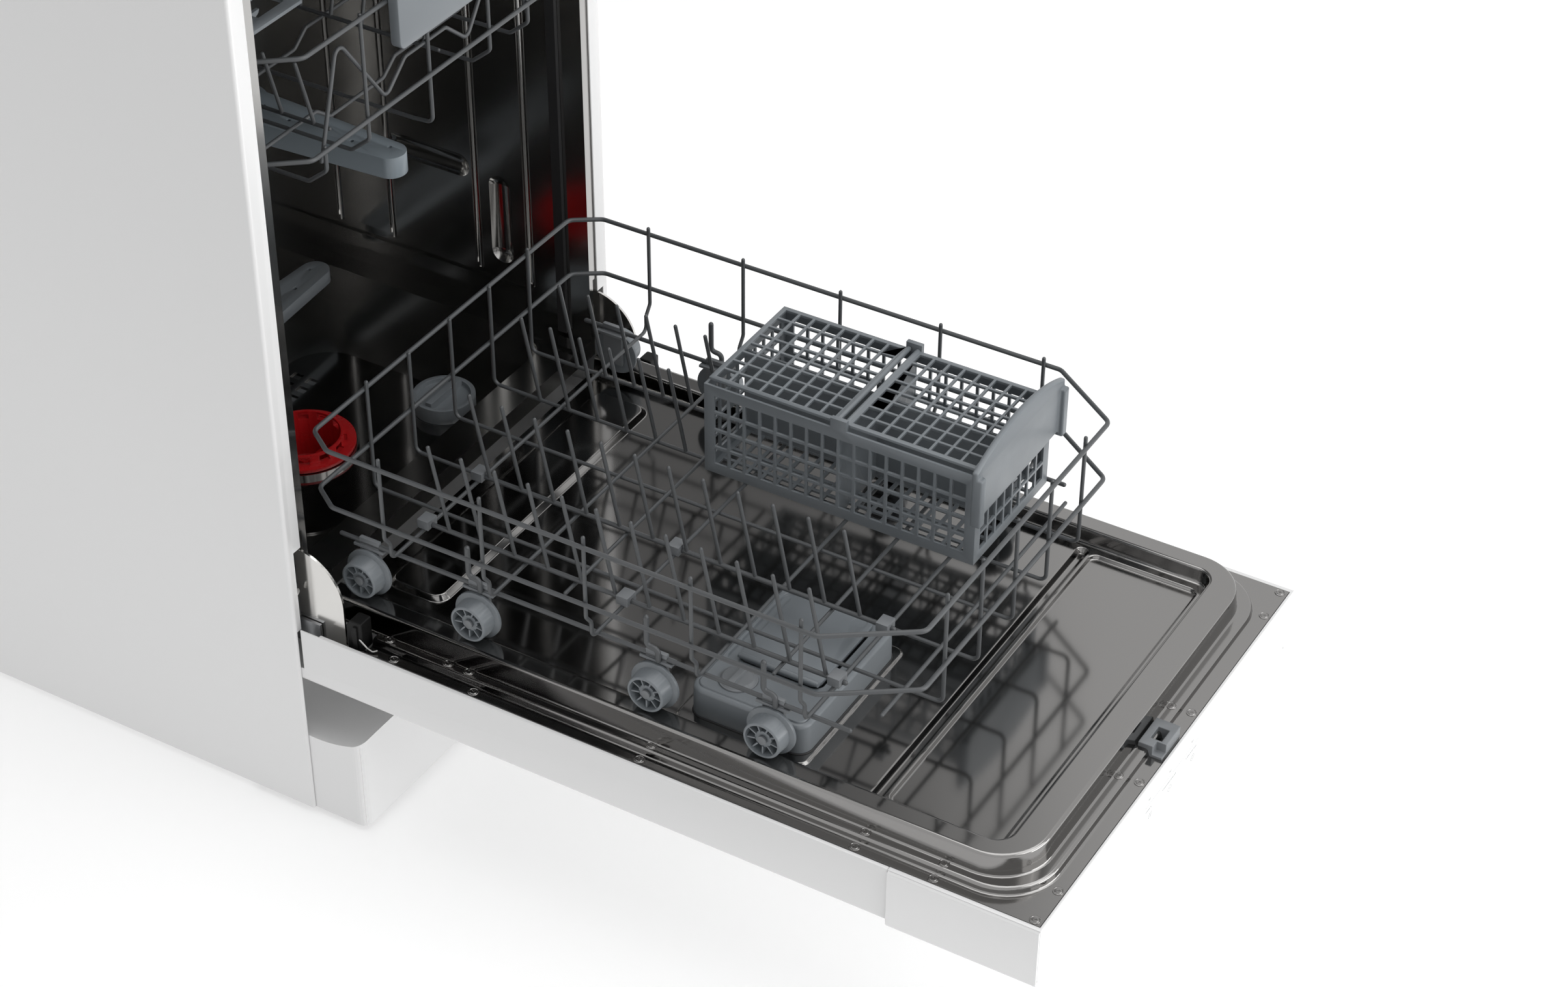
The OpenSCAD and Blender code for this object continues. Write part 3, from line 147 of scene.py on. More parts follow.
WHITE_PAINT = finish("White baked enamel", (0.80, 0.80, 0.80), 0.30, coat=0.25, grain=(900, 0.05),
                     mottle=(14, 0.04))
WHITE_PLASTIC = finish("White moulded plastic", (0.82, 0.82, 0.82), 0.34, grain=(1400, 0.06),
                       mottle=(20, 0.05))
WORKTOP_WHITE = finish("White laminate", (0.78, 0.78, 0.77), 0.42, grain=(700, 0.12), mottle=(9, 0.05))
GALVANISED = finish("Zinc-coated sheet", (0.52, 0.53, 0.54), 0.36, metal=1.0, grain=(300, 0.05),
                    mottle=(60, 0.12), tint=(45, (0.40, 0.41, 0.43)))
STAINLESS = finish("Bright stainless sheet", (0.26, 0.255, 0.25), 0.10, metal=1.0, grain=(3, 0.04),
                   mottle=(5, 0.03))
# the tub's steel is lighter than the liner's; the extra lightness is painted light, which brightens the
# tub's inside where reflections between its walls leave it dark
TUB_STEEL = finish("Tub stainless sheet", (0.46, 0.455, 0.445), 0.15, metal=1.0, grain=(4, 0.05),
                   mottle=(6, 0.04))
# a rougher, lighter copy of the liner's stainless for the middle of the pressed wall; its lighter colour is
# painted sheen for the light the wall catches
PAINTED_SHEEN_STEEL = finish("Stainless flank with painted sheen", (0.47, 0.46, 0.45), 0.42, metal=1.0, grain=(900, 0.03),
                 mottle=(6, 0.04))
POLISHED = finish("Polished hinge plate", (0.66, 0.65, 0.63), 0.16, metal=1.0, grain=(500, 0.02),
                  mottle=(40, 0.05))
SCREW_STEEL = finish("Screw steel", (0.34, 0.335, 0.33), 0.22, metal=1.0, mottle=(90, 0.08))
RUBBER = finish("Black rubber", (0.012, 0.012, 0.013), 0.55, grain=(1500, 0.15), mottle=(60, 0.08))
DARK_PLASTIC = finish("Dark moulded plastic", (0.035, 0.037, 0.04), 0.45, grain=(1400, 0.12),
                      mottle=(40, 0.06))
BLACK_PLASTIC = finish("Black moulded plastic", (0.006, 0.006, 0.006), 0.55, grain=(1400, 0.1),
                       mottle=(40, 0.06), spec=0.2)
BLUE_GREY = finish("Blue-grey plastic", (0.184, 0.202, 0.218), 0.36, grain=(1600, 0.10),
                   mottle=(55, 0.06), tint=(25, (0.174, 0.192, 0.207)))
PALE_BLUE = finish("Pale blue-grey plastic", (0.212, 0.246, 0.272), 0.38, grain=(1600, 0.08),
                   mottle=(55, 0.06), tint=(25, (0.200, 0.233, 0.258)))
GREY_PLASTIC = finish("Grey plastic", (0.17, 0.18, 0.19), 0.42, grain=(1600, 0.1), mottle=(55, 0.06))
NYLON = finish("Grey nylon coating", (0.075, 0.080, 0.084), 0.38, grain=(2200, 0.08),
               mottle=(120, 0.06), tint=(60, (0.066, 0.070, 0.074)))
RED_PLASTIC = finish("Red moulded plastic", (0.42, 0.010, 0.012), 0.28, grain=(1500, 0.06),
                     mottle=(40, 0.05))
PUMP_METAL = finish("Cast pump housing", (0.38, 0.39, 0.40), 0.45, metal=0.8, grain=(700, 0.2),
                    mottle=(30, 0.1))
PRINT_GREY = finish("Printed grey", (0.30, 0.30, 0.31), 0.5, mottle=(200, 0.05))

FINISH_OF = {
    "white_paint": WHITE_PAINT,
    "white_plastic": WHITE_PLASTIC,
    "galvanised": GALVANISED,
    "stainless": STAINLESS,
    "polished_plate": POLISHED,
    "rubber": RUBBER,
    "dark_plastic": DARK_PLASTIC,
    "blue_grey_plastic": BLUE_GREY,
    "light_blue_plastic": PALE_BLUE,
    "grey_plastic": GREY_PLASTIC,
    "wire_coating": NYLON,
    "red_plastic": RED_PLASTIC,
    "pump_metal": PUMP_METAL,
}


# edges of the solid pieces
def paint(obj, mat):
    """Gives a piece one finish."""
    obj.data.materials.clear()
    obj.data.materials.append(mat)


def soften(obj, width):
    """Rounds the edges of a piece by width millimetres, so that they catch the light."""
    weld = obj.modifiers.new("Weld", "WELD")
    weld.merge_threshold = 0.00002
    flat = obj.modifiers.new("Planar", "DECIMATE")
    flat.decimate_type = "DISSOLVE"
    flat.angle_limit = math.radians(1.0)
    bevel = obj.modifiers.new("Edge radius", "BEVEL")
    bevel.width = width / 1000
    bevel.segments = 2
    bevel.limit_method = "ANGLE"
    bevel.angle_limit = math.radians(35)
    bevel.harden_normals = True
    for poly in obj.data.polygons:
        poly.use_smooth = True


WHEELS = ["wheel_%d" % i for i in range(1, 9)]

# the edge radius of each solid piece, in millimetres
EDGES = {
    0.35: ["cutlery_basket"] + WHEELS,
    0.4: ["latch_strike"],
    0.5: ["side_panel_left", "side_panel_right", "drain_spigot", "cord_gland", "rack_rails",
          "basket_lid_front", "basket_lid_back", "rack_rollers"],
    0.6: ["back_panel", "levelling_feet", "inlet_valve", "filter_cup", "door_panel", "power_button",
          "start_button", "dispenser_lid", "door_latch", "tine_clips", "wheel_carriers",
          "upper_feed_tube"],
    0.8: ["sump", "drain_pump", "salt_cap", "console", "rinse_cap", "cup_shelf"],
    1.0: ["base_tray", "wash_pump", "feed_pipe"],
    1.2: ["upper_handle"],
    1.5: ["basket_handle"],
    1.6: ["lower_spray_arm"],
    2.0: ["upper_spray_arm"],
    2.5: ["worktop"],
}
for part in frame["record"]["subparts"]:
    paint(NODES[part["node"]], FINISH_OF[part["material_slot"]])
paint(NODES["tub"], TUB_STEEL)
paint(NODES["worktop"], WORKTOP_WHITE)
for radius, names in EDGES.items():
    for node in names:
        soften(NODES[node], radius)

# the plinth's own faces already make its rounded corners, so only sharp edges stay hard
sharp = NODES["plinth"].modifiers.new("Sharp edges", "EDGE_SPLIT")
sharp.split_angle = math.radians(30)
for poly in NODES["plinth"].data.polygons:
    poly.use_smooth = True


# bent wires
def wire_tree():
    """Geometry nodes that turn chains of edges into round wires with bent corners and rounded tips."""
    tree = bpy.data.node_groups.new("Bent wires", "GeometryNodeTree")
    face = tree.interface
    face.new_socket("Geometry", in_out="INPUT", socket_type="NodeSocketGeometry")
    sockets = (("Wire diameter", "NodeSocketFloat", 0.0032), ("Bend radius", "NodeSocketFloat", 0.007),
               ("Sides", "NodeSocketInt", 12), ("Coating", "NodeSocketMaterial", None))
    for name, kind, value in sockets:
        socket = face.new_socket(name, in_out="INPUT", socket_type=kind)
        if value is not None:
            socket.default_value = value
    face.new_socket("Geometry", in_out="OUTPUT", socket_type="NodeSocketGeometry")
    new = tree.nodes.new
    link = tree.links.new
    start = new("NodeGroupInput")
    curve = new("GeometryNodeMeshToCurve")
    bend = new("GeometryNodeFilletCurve")
    bend.mode = "POLY"
    bend.inputs["Count"].default_value = 5
    bend.inputs["Limit Radius"].default_value = True
    half = new("ShaderNodeMath")
    half.operation = "MULTIPLY"
    half.inputs[1].default_value = 0.5
    ring = new("GeometryNodeCurvePrimitiveCircle")
    sweep = new("GeometryNodeCurveToMesh")
    sweep.inputs["Fill Caps"].default_value = True
    ends = new("GeometryNodeCurveEndpointSelection")
    ball = new("GeometryNodeMeshUVSphere")
    ball.inputs["Rings"].default_value = 6
    tips = new("GeometryNodeInstanceOnPoints")
    join = new("GeometryNodeJoinGeometry")
    real = new("GeometryNodeRealizeInstances")
    smooth = new("GeometryNodeSetShadeSmooth")
    coat = new("GeometryNodeSetMaterial")
    end = new("NodeGroupOutput")
    link(start.outputs["Geometry"], curve.inputs[0])
    link(curve.outputs[0], bend.inputs["Curve"])
    link(start.outputs["Bend radius"], bend.inputs["Radius"])
    link(start.outputs["Wire diameter"], half.inputs[0])
    link(half.outputs[0], ring.inputs["Radius"])
    link(start.outputs["Sides"], ring.inputs["Resolution"])
    link(bend.outputs[0], sweep.inputs["Curve"])
    link(ring.outputs[0], sweep.inputs["Profile Curve"])
    link(half.outputs[0], ball.inputs["Radius"])
    link(start.outputs["Sides"], ball.inputs["Segments"])
    link(bend.outputs[0], tips.inputs["Points"])
    link(ends.outputs[0], tips.inputs["Selection"])
    link(ball.outputs[0], tips.inputs["Instance"])
    link(tips.outputs[0], join.inputs[0])
    link(sweep.outputs[0], join.inputs[0])
    link(join.outputs[0], real.inputs[0])
    link(real.outputs[0], smooth.inputs[0])
    link(smooth.outputs[0], coat.inputs[0])
    link(start.outputs["Coating"], coat.inputs["Material"])
    link(coat.outputs[0], end.inputs[0])
    return tree


def baked(name, mesh, tree, values, body):
    """Runs a node tree on a mesh with named input values and keeps the result as a plain mesh on a body."""
    rough = bpy.data.objects.new(name, mesh)
    SCENE.collection.objects.link(rough)
    mod = rough.modifiers.new("Build", "NODES")
    mod.node_group = tree
    ids = {s.name: s.identifier for s in tree.interface.items_tree if s.in_out == "INPUT"}
    for key, value in values.items():
        mod[ids[key]] = value
    shape = rough.evaluated_get(bpy.context.evaluated_depsgraph_get())
    plain = bpy.data.meshes.new_from_object(shape)
    rough.modifiers.remove(mod)
    rough.data = plain
    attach(rough, body)
    return rough


WIRES = wire_tree()


def wires(name, chains, closed, diameter, bend, body, coating=NYLON):
    """One mesh of bent wires. chains and closed are lists of point lists in millimetres."""
    verts, edges = [], []
    for points, ring in [(c, False) for c in chains] + [(c, True) for c in closed]:
        first = len(verts)
        verts += [at(*p) for p in points]
        edges += [(first + i, first + i + 1) for i in range(len(points) - 1)]
        if ring:
            edges.append((len(verts) - 1, first))
    mesh = bpy.data.meshes.new(name)
    mesh.from_pydata(verts, edges, [])
    sizes = {"Wire diameter": diameter / 1000, "Bend radius": bend / 1000, "Sides": WIRE_SIDES,
             "Coating": coating}
    return baked(name, mesh, WIRES, sizes, body)


def join(name, pieces):
    """Joins pieces on the same body into one mesh."""
    base = pieces[0]
    shape = bmesh.new()
    for piece in pieces:
        shape.from_mesh(piece.data)
    shape.to_mesh(base.data)
    shape.free()
    base.name = name
    for piece in pieces[1:]:
        bpy.data.objects.remove(piece)
    return base


def belt(half, front, back, nose, heel, z):
    """A rack's closed wire at height z, with cut corners: nose and heel are (width, depth) of the front
    and back ones."""
    return [(-half, front + nose[1], z), (-half + nose[0], front, z),
            (half - nose[0], front, z), (half, front + nose[1], z),
            (half, back - heel[1], z), (half - heel[0], back, z),
            (-half + heel[0], back, z), (-half, back - heel[1], z)]


def mirrored(half, y):
    """A wire at station y that is the same left and right. half has (x, z) pairs from its end inwards."""
    return [(-x, y, z) for x, z in half] + [(x, y, z) for x, z in reversed(half)]


def tine(x, y, z):
    """One tine from its foot to its tip."""
    return [(x, y, z), (x, y + TINE_LEAN, z + TINE_RISE)]


# lower rack: cut corners of its closed wires, stations of its lengthwise wires, half lengths of its
# keel and brace wires from the middle, and the fixed tines
LOWER_NOSE, LOWER_HEEL = (44, 63), (16, 24)
LONG_X = (-110, -55, 0, 55, 110)
KEEL_X = RACK_HALF - 18.5
BRACE_X = 147.5
FIXED_X, FIXED_Y, FIXED_PITCH, FIXED_COUNT = (55, 110), -184, 28, 6


def lower_rack():
    """Sides, ends, floor and fixed tines."""
    # the cross wires lie on the lengthwise ones
    cross_z = RACK_Z + 2.6
    levels = (RIM_Z, MID_Z)
    belts = [belt(RACK_HALF, RACK_FRONT, RACK_BACK, LOWER_NOSE, LOWER_HEEL, z) for z in levels]
    posts = []
    for side in (-1, 1):
        out = side * (RACK_HALF - POST_IN)
        foot = side * (RACK_HALF - 9)
        for y in SIDE_POSTS:
            posts.append([(out, y, RIM_Z + 7), (out, y, RACK_Z + 26), (foot, y, RACK_Z + 17),
                          (foot, y, cross_z), (0, y, cross_z)])
    front, back = RACK_FRONT + POST_IN, RACK_BACK - POST_IN
    long_wires = []
    for x in LONG_X:
        top = RIM_Z + (7 if abs(x) == LONG_X[-1] else 1.2)
        long_wires.append([(x, front, top), (x, front, RACK_Z), (x, back, RACK_Z), (x, back, top)])
    keels = [[(x, RACK_FRONT + 45, RACK_Z), (x, RACK_BACK - 16, RACK_Z)] for x in (-KEEL_X, KEEL_X)]
    brace_y = (SIDE_POSTS[0] - 45, SIDE_POSTS[0] + POST_PITCH / 2, SIDE_POSTS[2] + POST_PITCH / 2)
    braces = [[(-BRACE_X, y, cross_z), (BRACE_X, y, cross_z)] for y in brace_y]
    fixed_y = [FIXED_Y + FIXED_PITCH * i for i in range(FIXED_COUNT)]
    fixed_tines = [tine(x, y, RACK_Z) for x in FIXED_X for y in fixed_y]
    thin = posts + long_wires + braces + fixed_tines
    lower = join("lower_rack_wires", [
        wires("rack_belts", [], belts, RIM_WIRE, RIM_BEND, "lower_rack"),
        wires("rack_keels", keels, [], RIM_WIRE, BEND, "lower_rack"),
        wires("rack_posts", thin, [], WIRE, BEND, "lower_rack"),
    ])
    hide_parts("lower_rack_floor", "lower_rack_sides", "lower_rack_ends")


def tine_row(name, x, share, body, node):
    """A fold-down row of twelve tines on its axle. share is the first tine's place in the pitch."""
    pitch = POST_PITCH / 3
    z = RACK_Z + 6.5
    start = SIDE_POSTS[0] + share * pitch
    axle = [[(x, SIDE_POSTS[0] - 7, z), (x, SIDE_POSTS[4] + 7, z)]]
    tines = [tine(x, start + i * pitch, z) for i in range(12)]
    row = join(name, [wires(name + "_axle", axle, [], 4.0, BEND, body),
                      wires(name + "_tines", tines, [], WIRE, BEND, body)])
    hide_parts(node)


lower_rack()
tine_row("outer_folding_tines", -134, 0.3, "tines_outer", "tine_row_outer")
tine_row("inner_folding_tines", -62, 0.7, "tines_inner", "tine_row_inner")

# upper rack: cut corners of its closed wires, stations of its cross and lengthwise wires, and the cup
# tines' feet, tips and stations
UPPER_NOSE, UPPER_HEEL = (28, 34), (16, 20)
CROSS_Y = range(76, 432, 86)
LENGTH_X = (-130, -78, 0, 78, 130)
CUP_FOOT_X, CUP_TIP_X = 70, 86
CUP_Y = range(62, 422, 30)


def upper_rack():
    """Closed wires, cross wires with a sunken middle, lengthwise wires and the waved wire in front."""
    low, mid, rim, half = UPPER_Z, UPPER_Z + 30, UPPER_RIM, UPPER_HALF
    lap = 1.2
    edge = half - POST_IN
    front, back = UPPER_FRONT + POST_IN, UPPER_BACK - POST_IN
    belts = [belt(half, UPPER_FRONT, UPPER_BACK, UPPER_NOSE, UPPER_HEEL, z) for z in (rim, mid)]
    sag = [(edge, rim + lap), (edge, low + 12), (half - 40, low), (50, low), (34, low - 12)]
    cross = [mirrored(sag, y) for y in CROSS_Y]
    length = []
    for x in LENGTH_X:
        dip = 14.4 if x == 0 else 2.4
        nose = low + (-13 if x == 0 else 12)
        start = (mid if abs(x) == LENGTH_X[-1] else rim) + lap
        length.append([(x, front, start), (x, front, nose), (x, UPPER_FRONT + 20, low - dip),
                       (x, UPPER_BACK - 16, low - dip), (x, back, low + 12), (x, back, mid + lap)])
    wave = mirrored([(half - 44, mid - 10), (104, rim - 8), (52, mid + 4), (26, mid + 26)], front + 2.3)
    upper = join("upper_rack_wires", [
        wires("upper_belts", [], belts, RIM_WIRE, RIM_BEND, "upper_rack"),
        wires("upper_wires", cross + length + [wave], [], WIRE, BEND, "upper_rack"),
    ])
    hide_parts("upper_rack")


def cup_tines():
    """Two rows of leaning tines on the upper rack's floor, each on a wire of its own."""
    chains = []
    for side in (-1, 1):
        foot, tip = side * CUP_FOOT_X, side * CUP_TIP_X
        chains.append([(foot, 48, UPPER_Z + 3.5), (foot, 406, UPPER_Z + 3.5)])
        for y in CUP_Y:
            chains.append([(foot, y, UPPER_Z + 3.2), (tip, y, UPPER_Z + 62)])
    cups = wires("cup_tines", chains, [], WIRE, BEND, "upper_rack")
    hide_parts("upper_tines")


upper_rack()
cup_tines()


# pressed liner of the door
def arc(cx, cy, r, start, steps=12):
    """Points of a quarter turn from the start angle in degrees."""
    turns = [math.radians(start + 90 * k / steps) for k in range(steps + 1)]
    return [(cx + r * math.cos(t), cy + r * math.sin(t)) for t in turns]


def frame_ring(x0, x1, y0, y1, r):
    """A closed rounded rectangle, anticlockwise from its near left corner."""
    near = arc(x0 + r, y0 + r, r, 180) + arc(x1 - r, y0 + r, r, 270)
    return near + arc(x1 - r, y1 - r, r, 0) + arc(x0 + r, y1 - r, r, 90)


def bay(half, low, end, r):
    """An open outline along one flank, round the door's top end and back along the other flank."""
    return [(-half, low)] + arc(-half + r, end + r, r, 180) + arc(half - r, end + r, r, 270) + [(half, low)]


def press(z0, z1, r0, r1, lean=0.0, steps=5):
    """The profile of a pressed step from height z0 to z1, as (inset, height). r0 and r1 are the fillet
    radii at its ends, and lean is how far its wall leans in."""
    sign = 1 if z1 > z0 else -1
    turns = [math.radians(90 * k / steps) for k in range(steps + 1)]
    first = [(-r0 + r0 * math.sin(t), z0 + sign * r0 * (1 - math.cos(t))) for t in turns]
    last = [(lean + r1 - r1 * math.cos(t), z1 - sign * r1 * (1 - math.sin(t))) for t in turns]
    return [(-r0 - 0.5, z0)] + first + last + [(lean + r1 + 0.5, z1)]


def inside(p, ring):
    """True where a point lies inside a closed outline."""
    odd = False
    for a, b in zip(ring, ring[1:] + ring[:1]):
        if (a[1] > p[1]) != (b[1] > p[1]) and p[0] < (b[0] - a[0]) * (p[1] - a[1]) / (b[1] - a[1]) + a[0]:
            odd = not odd
    return odd


def made(name, shape):
    """An object in the scene from a finished bmesh."""
    mesh = bpy.data.meshes.new(name)
    shape.to_mesh(mesh)
    shape.free()
    obj = bpy.data.objects.new(name, mesh)
    SCENE.collection.objects.link(obj)
    return obj


class Sheet:
    """Pressed sheet metal, built from lofted steps and the flat areas between them."""

    def __init__(self):
        self.shape = bmesh.new()

    def loft(self, rings, closed, sheen_rows=range(0)):
        """Rows of faces between rings, which are (outline, height) pairs with equal numbers of points.
        Its last argument numbers the rows that take the second finish, a rougher steel whose lighter colour
        is painted sheen."""
        rows = [[self.shape.verts.new(at(x, y, z)) for x, y in ring] for ring, z in rings]
        for row, (a, b) in enumerate(zip(rows, rows[1:])):
            for k in range(len(a) if closed else len(a) - 1):
                m = (k + 1) % len(a)
                face = self.shape.faces.new((a[k], a[m], b[m], b[k]))
                face.smooth = True
                face.material_index = int(row in sheen_rows)

    def flat(self, outer, holes, z):
        """The flat area at height z inside outer and outside every hole."""
        points, edges = [], []
        for ring in [outer] + holes:
            first = len(points)
            points += [Vector(p) for p in ring]
            edges += [(first + k, first + (k + 1) % len(ring)) for k in range(len(ring))]
        spots, _, faces, *_ = delaunay_2d_cdt(points, edges, [], 0, 0.001)
        verts = [self.shape.verts.new(at(p.x, p.y, z)) for p in spots]
        for face in faces:
            middle = sum((spots[k] for k in face), Vector((0, 0))) / len(face)
            if inside(middle, outer) and not any(inside(middle, hole) for hole in holes):
                self.shape.faces.new([verts[k] for k in face])

    def piece(self, name, body, mat, thick):
        """The finished sheet on a body, thick millimetres under its upper side."""
        bmesh.ops.remove_doubles(self.shape, verts=self.shape.verts, dist=0.00001)
        loose = [v for v in self.shape.verts if not v.link_faces]
        bmesh.ops.delete(self.shape, geom=loose, context="VERTS")
        bmesh.ops.recalc_face_normals(self.shape, faces=self.shape.faces)
        upright = sum(f.normal.z * f.calc_area() for f in self.shape.faces)
        if upright < 0:
            bmesh.ops.reverse_faces(self.shape, faces=self.shape.faces)
        obj = made(name, self.shape)
        paint(obj, mat)
        wall = obj.modifiers.new("Sheet thickness", "SOLIDIFY")
        wall.thickness = thick / 1000
        wall.offset = -1
        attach(obj, body)
        return obj


# the liner's outline, then half width, end and corner radius of each step, all about the door's middle
LINER_HALF, LINER_END, LINER_LOW = 217.7, -643.0, -62.0
STEP_Z = DOOR_IN_Z + 6
STEP = (207.5, -631.0, 45.0)
WALL = (198.0, -620.5, 42.0)
RECESS = (178.5, -594.0, 14.0)
SHEET_LOW = -14.0

# the dispenser's box as (x0, x1, y0, y1), the radius of its corners, and its top
DISH = (-163, -22, -421, -320)
DISH_R = 12
DISH_TOP = RECESS_Z + 29.5


def shrunk(box, d, r):
    """A rounded rectangle set in by d from a box of (x0, x1, y0, y1) whose corner radius is r."""
    return frame_ring(box[0] + d, box[1] - d, box[2] + d, box[3] - d, max(r - d, 0.5))


def bays(form, low, profile):
    """The open outlines of a pressed step that runs along both flanks and round the door's top end."""
    half, end, r = form
    return [(bay(half - d, low, end + d, r - d), z) for d, z in profile]


def liner():
    """The pressed sheet: flange, step, wall, border and recess, with the forms pressed into the recess."""
    sheet = Sheet()
    step = bays(STEP, LINER_LOW, press(DOOR_IN_Z, STEP_Z, 1.6, 2.4, 0.6))
    wall_profile = press(STEP_Z, BORDER_Z, 1.8, 2.6, 1.6)
    wall = bays(WALL, SHEET_LOW, wall_profile)
    dip = bays(RECESS, SHEET_LOW, press(BORDER_Z, RECESS_Z, 2.2, 3.0, 1.2))
    sheet.loft(step, False)
    # the middle rows of the wall take a rougher steel whose lighter colour is painted sheen
    sheet.loft(wall, False, sheen_rows=range(4, 8))
    sheet.loft(dip, False)
    corners = ((-1, LINER_LOW), (-1, LINER_END), (1, LINER_END), (1, LINER_LOW))
    sheet.flat([(side * LINER_HALF, y) for side, y in corners], [step[0][0]], DOOR_IN_Z)
    foot = bays(WALL, LINER_LOW, wall_profile)[0][0]
    sheet.flat(step[-1][0] + foot[::-1], [], STEP_Z)
    sheet.flat(wall[-1][0] + dip[0][0][::-1], [], BORDER_Z)
    # outline, rise, corner radius and lean of each form pressed into the recess
    rim = (DISH[0] - 8, DISH[1] + 7, DISH[2] - 3.5, DISH[3] + 8)
    panels = [((-168, 168, -586, -493), -3.0, 7, 0.8), ((-171, 171, -489.5, -480), -4.0, 4, 2.2),
              ((-152, 152, -88, -34), 4.5, 12, 3.0), (rim, 2.0, 8, 0.6)]
    holes = []
    for box, rise, r, lean in panels:
        form = [(shrunk(box, d, r), z) for d, z in press(RECESS_Z, RECESS_Z + rise, 1.0, 1.0, lean)]
        sheet.loft(form, True)
        sheet.flat(form[-1][0], [shrunk(DISH, -0.7, 11)] if box is rim else [], RECESS_Z + rise)
        holes.append(form[0][0])
    sheet.flat(dip[-1][0], holes, RECESS_Z)
    piece = sheet.piece("pressed_door_liner", "door", STAINLESS, 0.8)
    piece.data.materials.append(PAINTED_SHEEN_STEEL)
    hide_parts("door_liner")


liner()


# detergent dispenser
def dispenser():
    """The moulded housing: round-topped sides, a seam round the top plate, the lid's seat with the cup
    under it, and the rinse-aid cap's well."""
    x0, x1, y0, y1 = DISH
    base, top = RECESS_Z + 0.4, DISH_TOP
    edge_r = 3.4
    turns = [math.radians(15 * k) for k in range(7)]
    side = [(0.4, base), (0.0, base + 2.0), (0.4, top - 4.4)]
    side += [(0.4 + edge_r * (1 - math.cos(t)), top - 4.4 + edge_r * math.sin(t)) for t in turns[1:]]
    side += [(4.1, top - 1.0), (4.2, top - 2.2), (4.9, top - 2.2), (5.0, top - 0.4), (5.5, top)]
    shell = Sheet()
    rows = [(shrunk(DISH, d, DISH_R), z) for d, z in side]
    shell.loft(rows, True)
    seat = (x0 + 40, x1 - 6, y0 + 8, y1 - 8)
    cup = (x0 + 46, x1 - 12, y0 + 14, y1 - 14)
    inner_r, well_r, well_sides = 8, 15.3, 36
    seat_z, cup_z, well_z = top - 2.6, RECESS_Z - 1.5, top - 8
    turns = [math.tau * k / well_sides for k in range(well_sides)]
    well = [(x0 + 24 + well_r * math.cos(t), y1 - 30 + well_r * math.sin(t)) for t in turns]
    seat_steps = ((-0.5, top), (0.0, top - 0.5), (0.0, seat_z))
    cup_steps = ((0.0, seat_z), (0.5, RECESS_Z + 2), (2.5, cup_z))
    seat_rows = [(shrunk(seat, d, inner_r), z) for d, z in seat_steps]
    cup_rows = [(shrunk(cup, d, inner_r), z) for d, z in cup_steps]
    shell.loft(seat_rows, True)
    shell.loft(cup_rows, True)
    shell.loft([(well, top), (well, well_z)], True)
    shell.flat(rows[-1][0], [seat_rows[0][0], well], top)
    shell.flat(seat_rows[-1][0], [cup_rows[0][0]], seat_z)
    shell.flat(cup_rows[-1][0], [], cup_z)
    shell.flat(well, [], well_z)
    housing = shell.piece("dispenser_housing", "door", BLUE_GREY, 0.6)
    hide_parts("dispenser")
    seal = Sheet()
    lip = ((0.6, base), (-0.5, base + 0.2), (-0.5, base + 2.0), (0.3, base + 2.4))
    seal.loft([(shrunk(DISH, d, DISH_R), z) for d, z in lip], True)
    seal.piece("dispenser_seal", "door", RUBBER, 0.4)


dispenser()


# plates, bars and printed marks
def extruded(name, runs, mat, body, radius):
    """Straight bars with edges rounded by radius. Each run is the pair of its end outlines."""
    shape = bmesh.new()
    for start, stop in runs:
        near = [shape.verts.new(p) for p in start]
        far = [shape.verts.new(p) for p in stop]
        shape.faces.new(near[::-1])
        shape.faces.new(far)
        for k in range(len(near)):
            m = (k + 1) % len(near)
            shape.faces.new((near[k], near[m], far[m], far[k]))
    bmesh.ops.recalc_face_normals(shape, faces=shape.faces)
    obj = made(name, shape)
    paint(obj, mat)
    if radius:
        soften(obj, radius)
    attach(obj, body)


def across(spans, outline):
    """Runs along x: outline holds (y, z) pairs, and spans the ends of each run."""
    return [([at(a, y, z) for y, z in outline], [at(b, y, z) for y, z in outline]) for a, b in spans]


def lengthwise(sections, y0, y1):
    """Runs along y from y0 to y1: each section holds (x, z) pairs."""
    return [([at(x, y0, z) for x, z in s], [at(x, y1, z) for x, z in s]) for s in sections]


# hinge corners of the door
COVER = [(-57.0, 187), (-42.5, 185), (-42.0, 208), (-46.0, 214.0), (-57.0, 214.0)]
RIB = [(-53.0, 190), (-49.0, 190), (-47.5, 203), (-49.5, 210), (-53.0, 210)]
HOOK = [(214, -55, 199), (215, -62, 195), (215.5, -68, 193.8), (213.5, -70.5, 194.4)]
cover_spans = [(-213.5, -200.2), (200.2, 213.5)]
rib_spans = [(-215.0, -213.0), (213.0, 215.0)]
extruded("hinge_covers", across(cover_spans, COVER), BLACK_PLASTIC, "door", 1.2)
extruded("hinge_cover_ribs", across(rib_spans, RIB), BLACK_PLASTIC, "door", 0.5)
hooks = [[(side * x, y, z) for x, y, z in HOOK] for side in (-1, 1)]
wires("hinge_hooks", hooks, [], 1.5, 2, "door", SCREW_STEEL)

# the console's moulded side trims: distance beyond the door's side, and height
TRIM = [(0.0, DOOR_IN_Z - 0.8), (1.9, DOOR_IN_Z - 2.2), (2.1, DOOR_OUT_Z - 1.0), (0.9, DOOR_OUT_Z - 3.4),
        (-1.5, DOOR_OUT_Z - 4.2), (-7.5, DOOR_OUT_Z - 4.2), (-8.5, DOOR_OUT_Z + 0.2),
        (0.0, DOOR_OUT_Z + 0.2)]
trims = [[(side * (DOOR_HALF + out), z) for out, z in TRIM] for side in (-1, 1)]
trim_runs = lengthwise(trims, DOOR_END_Y + 0.2, CONSOLE_Y - 0.3)
extruded("console_trims", trim_runs, WHITE_PLASTIC, "door", 0.4)


# generic marks on the door's end face, as cross sections in x and z
LINE_Z = 170.6
RING_Z = 157.6


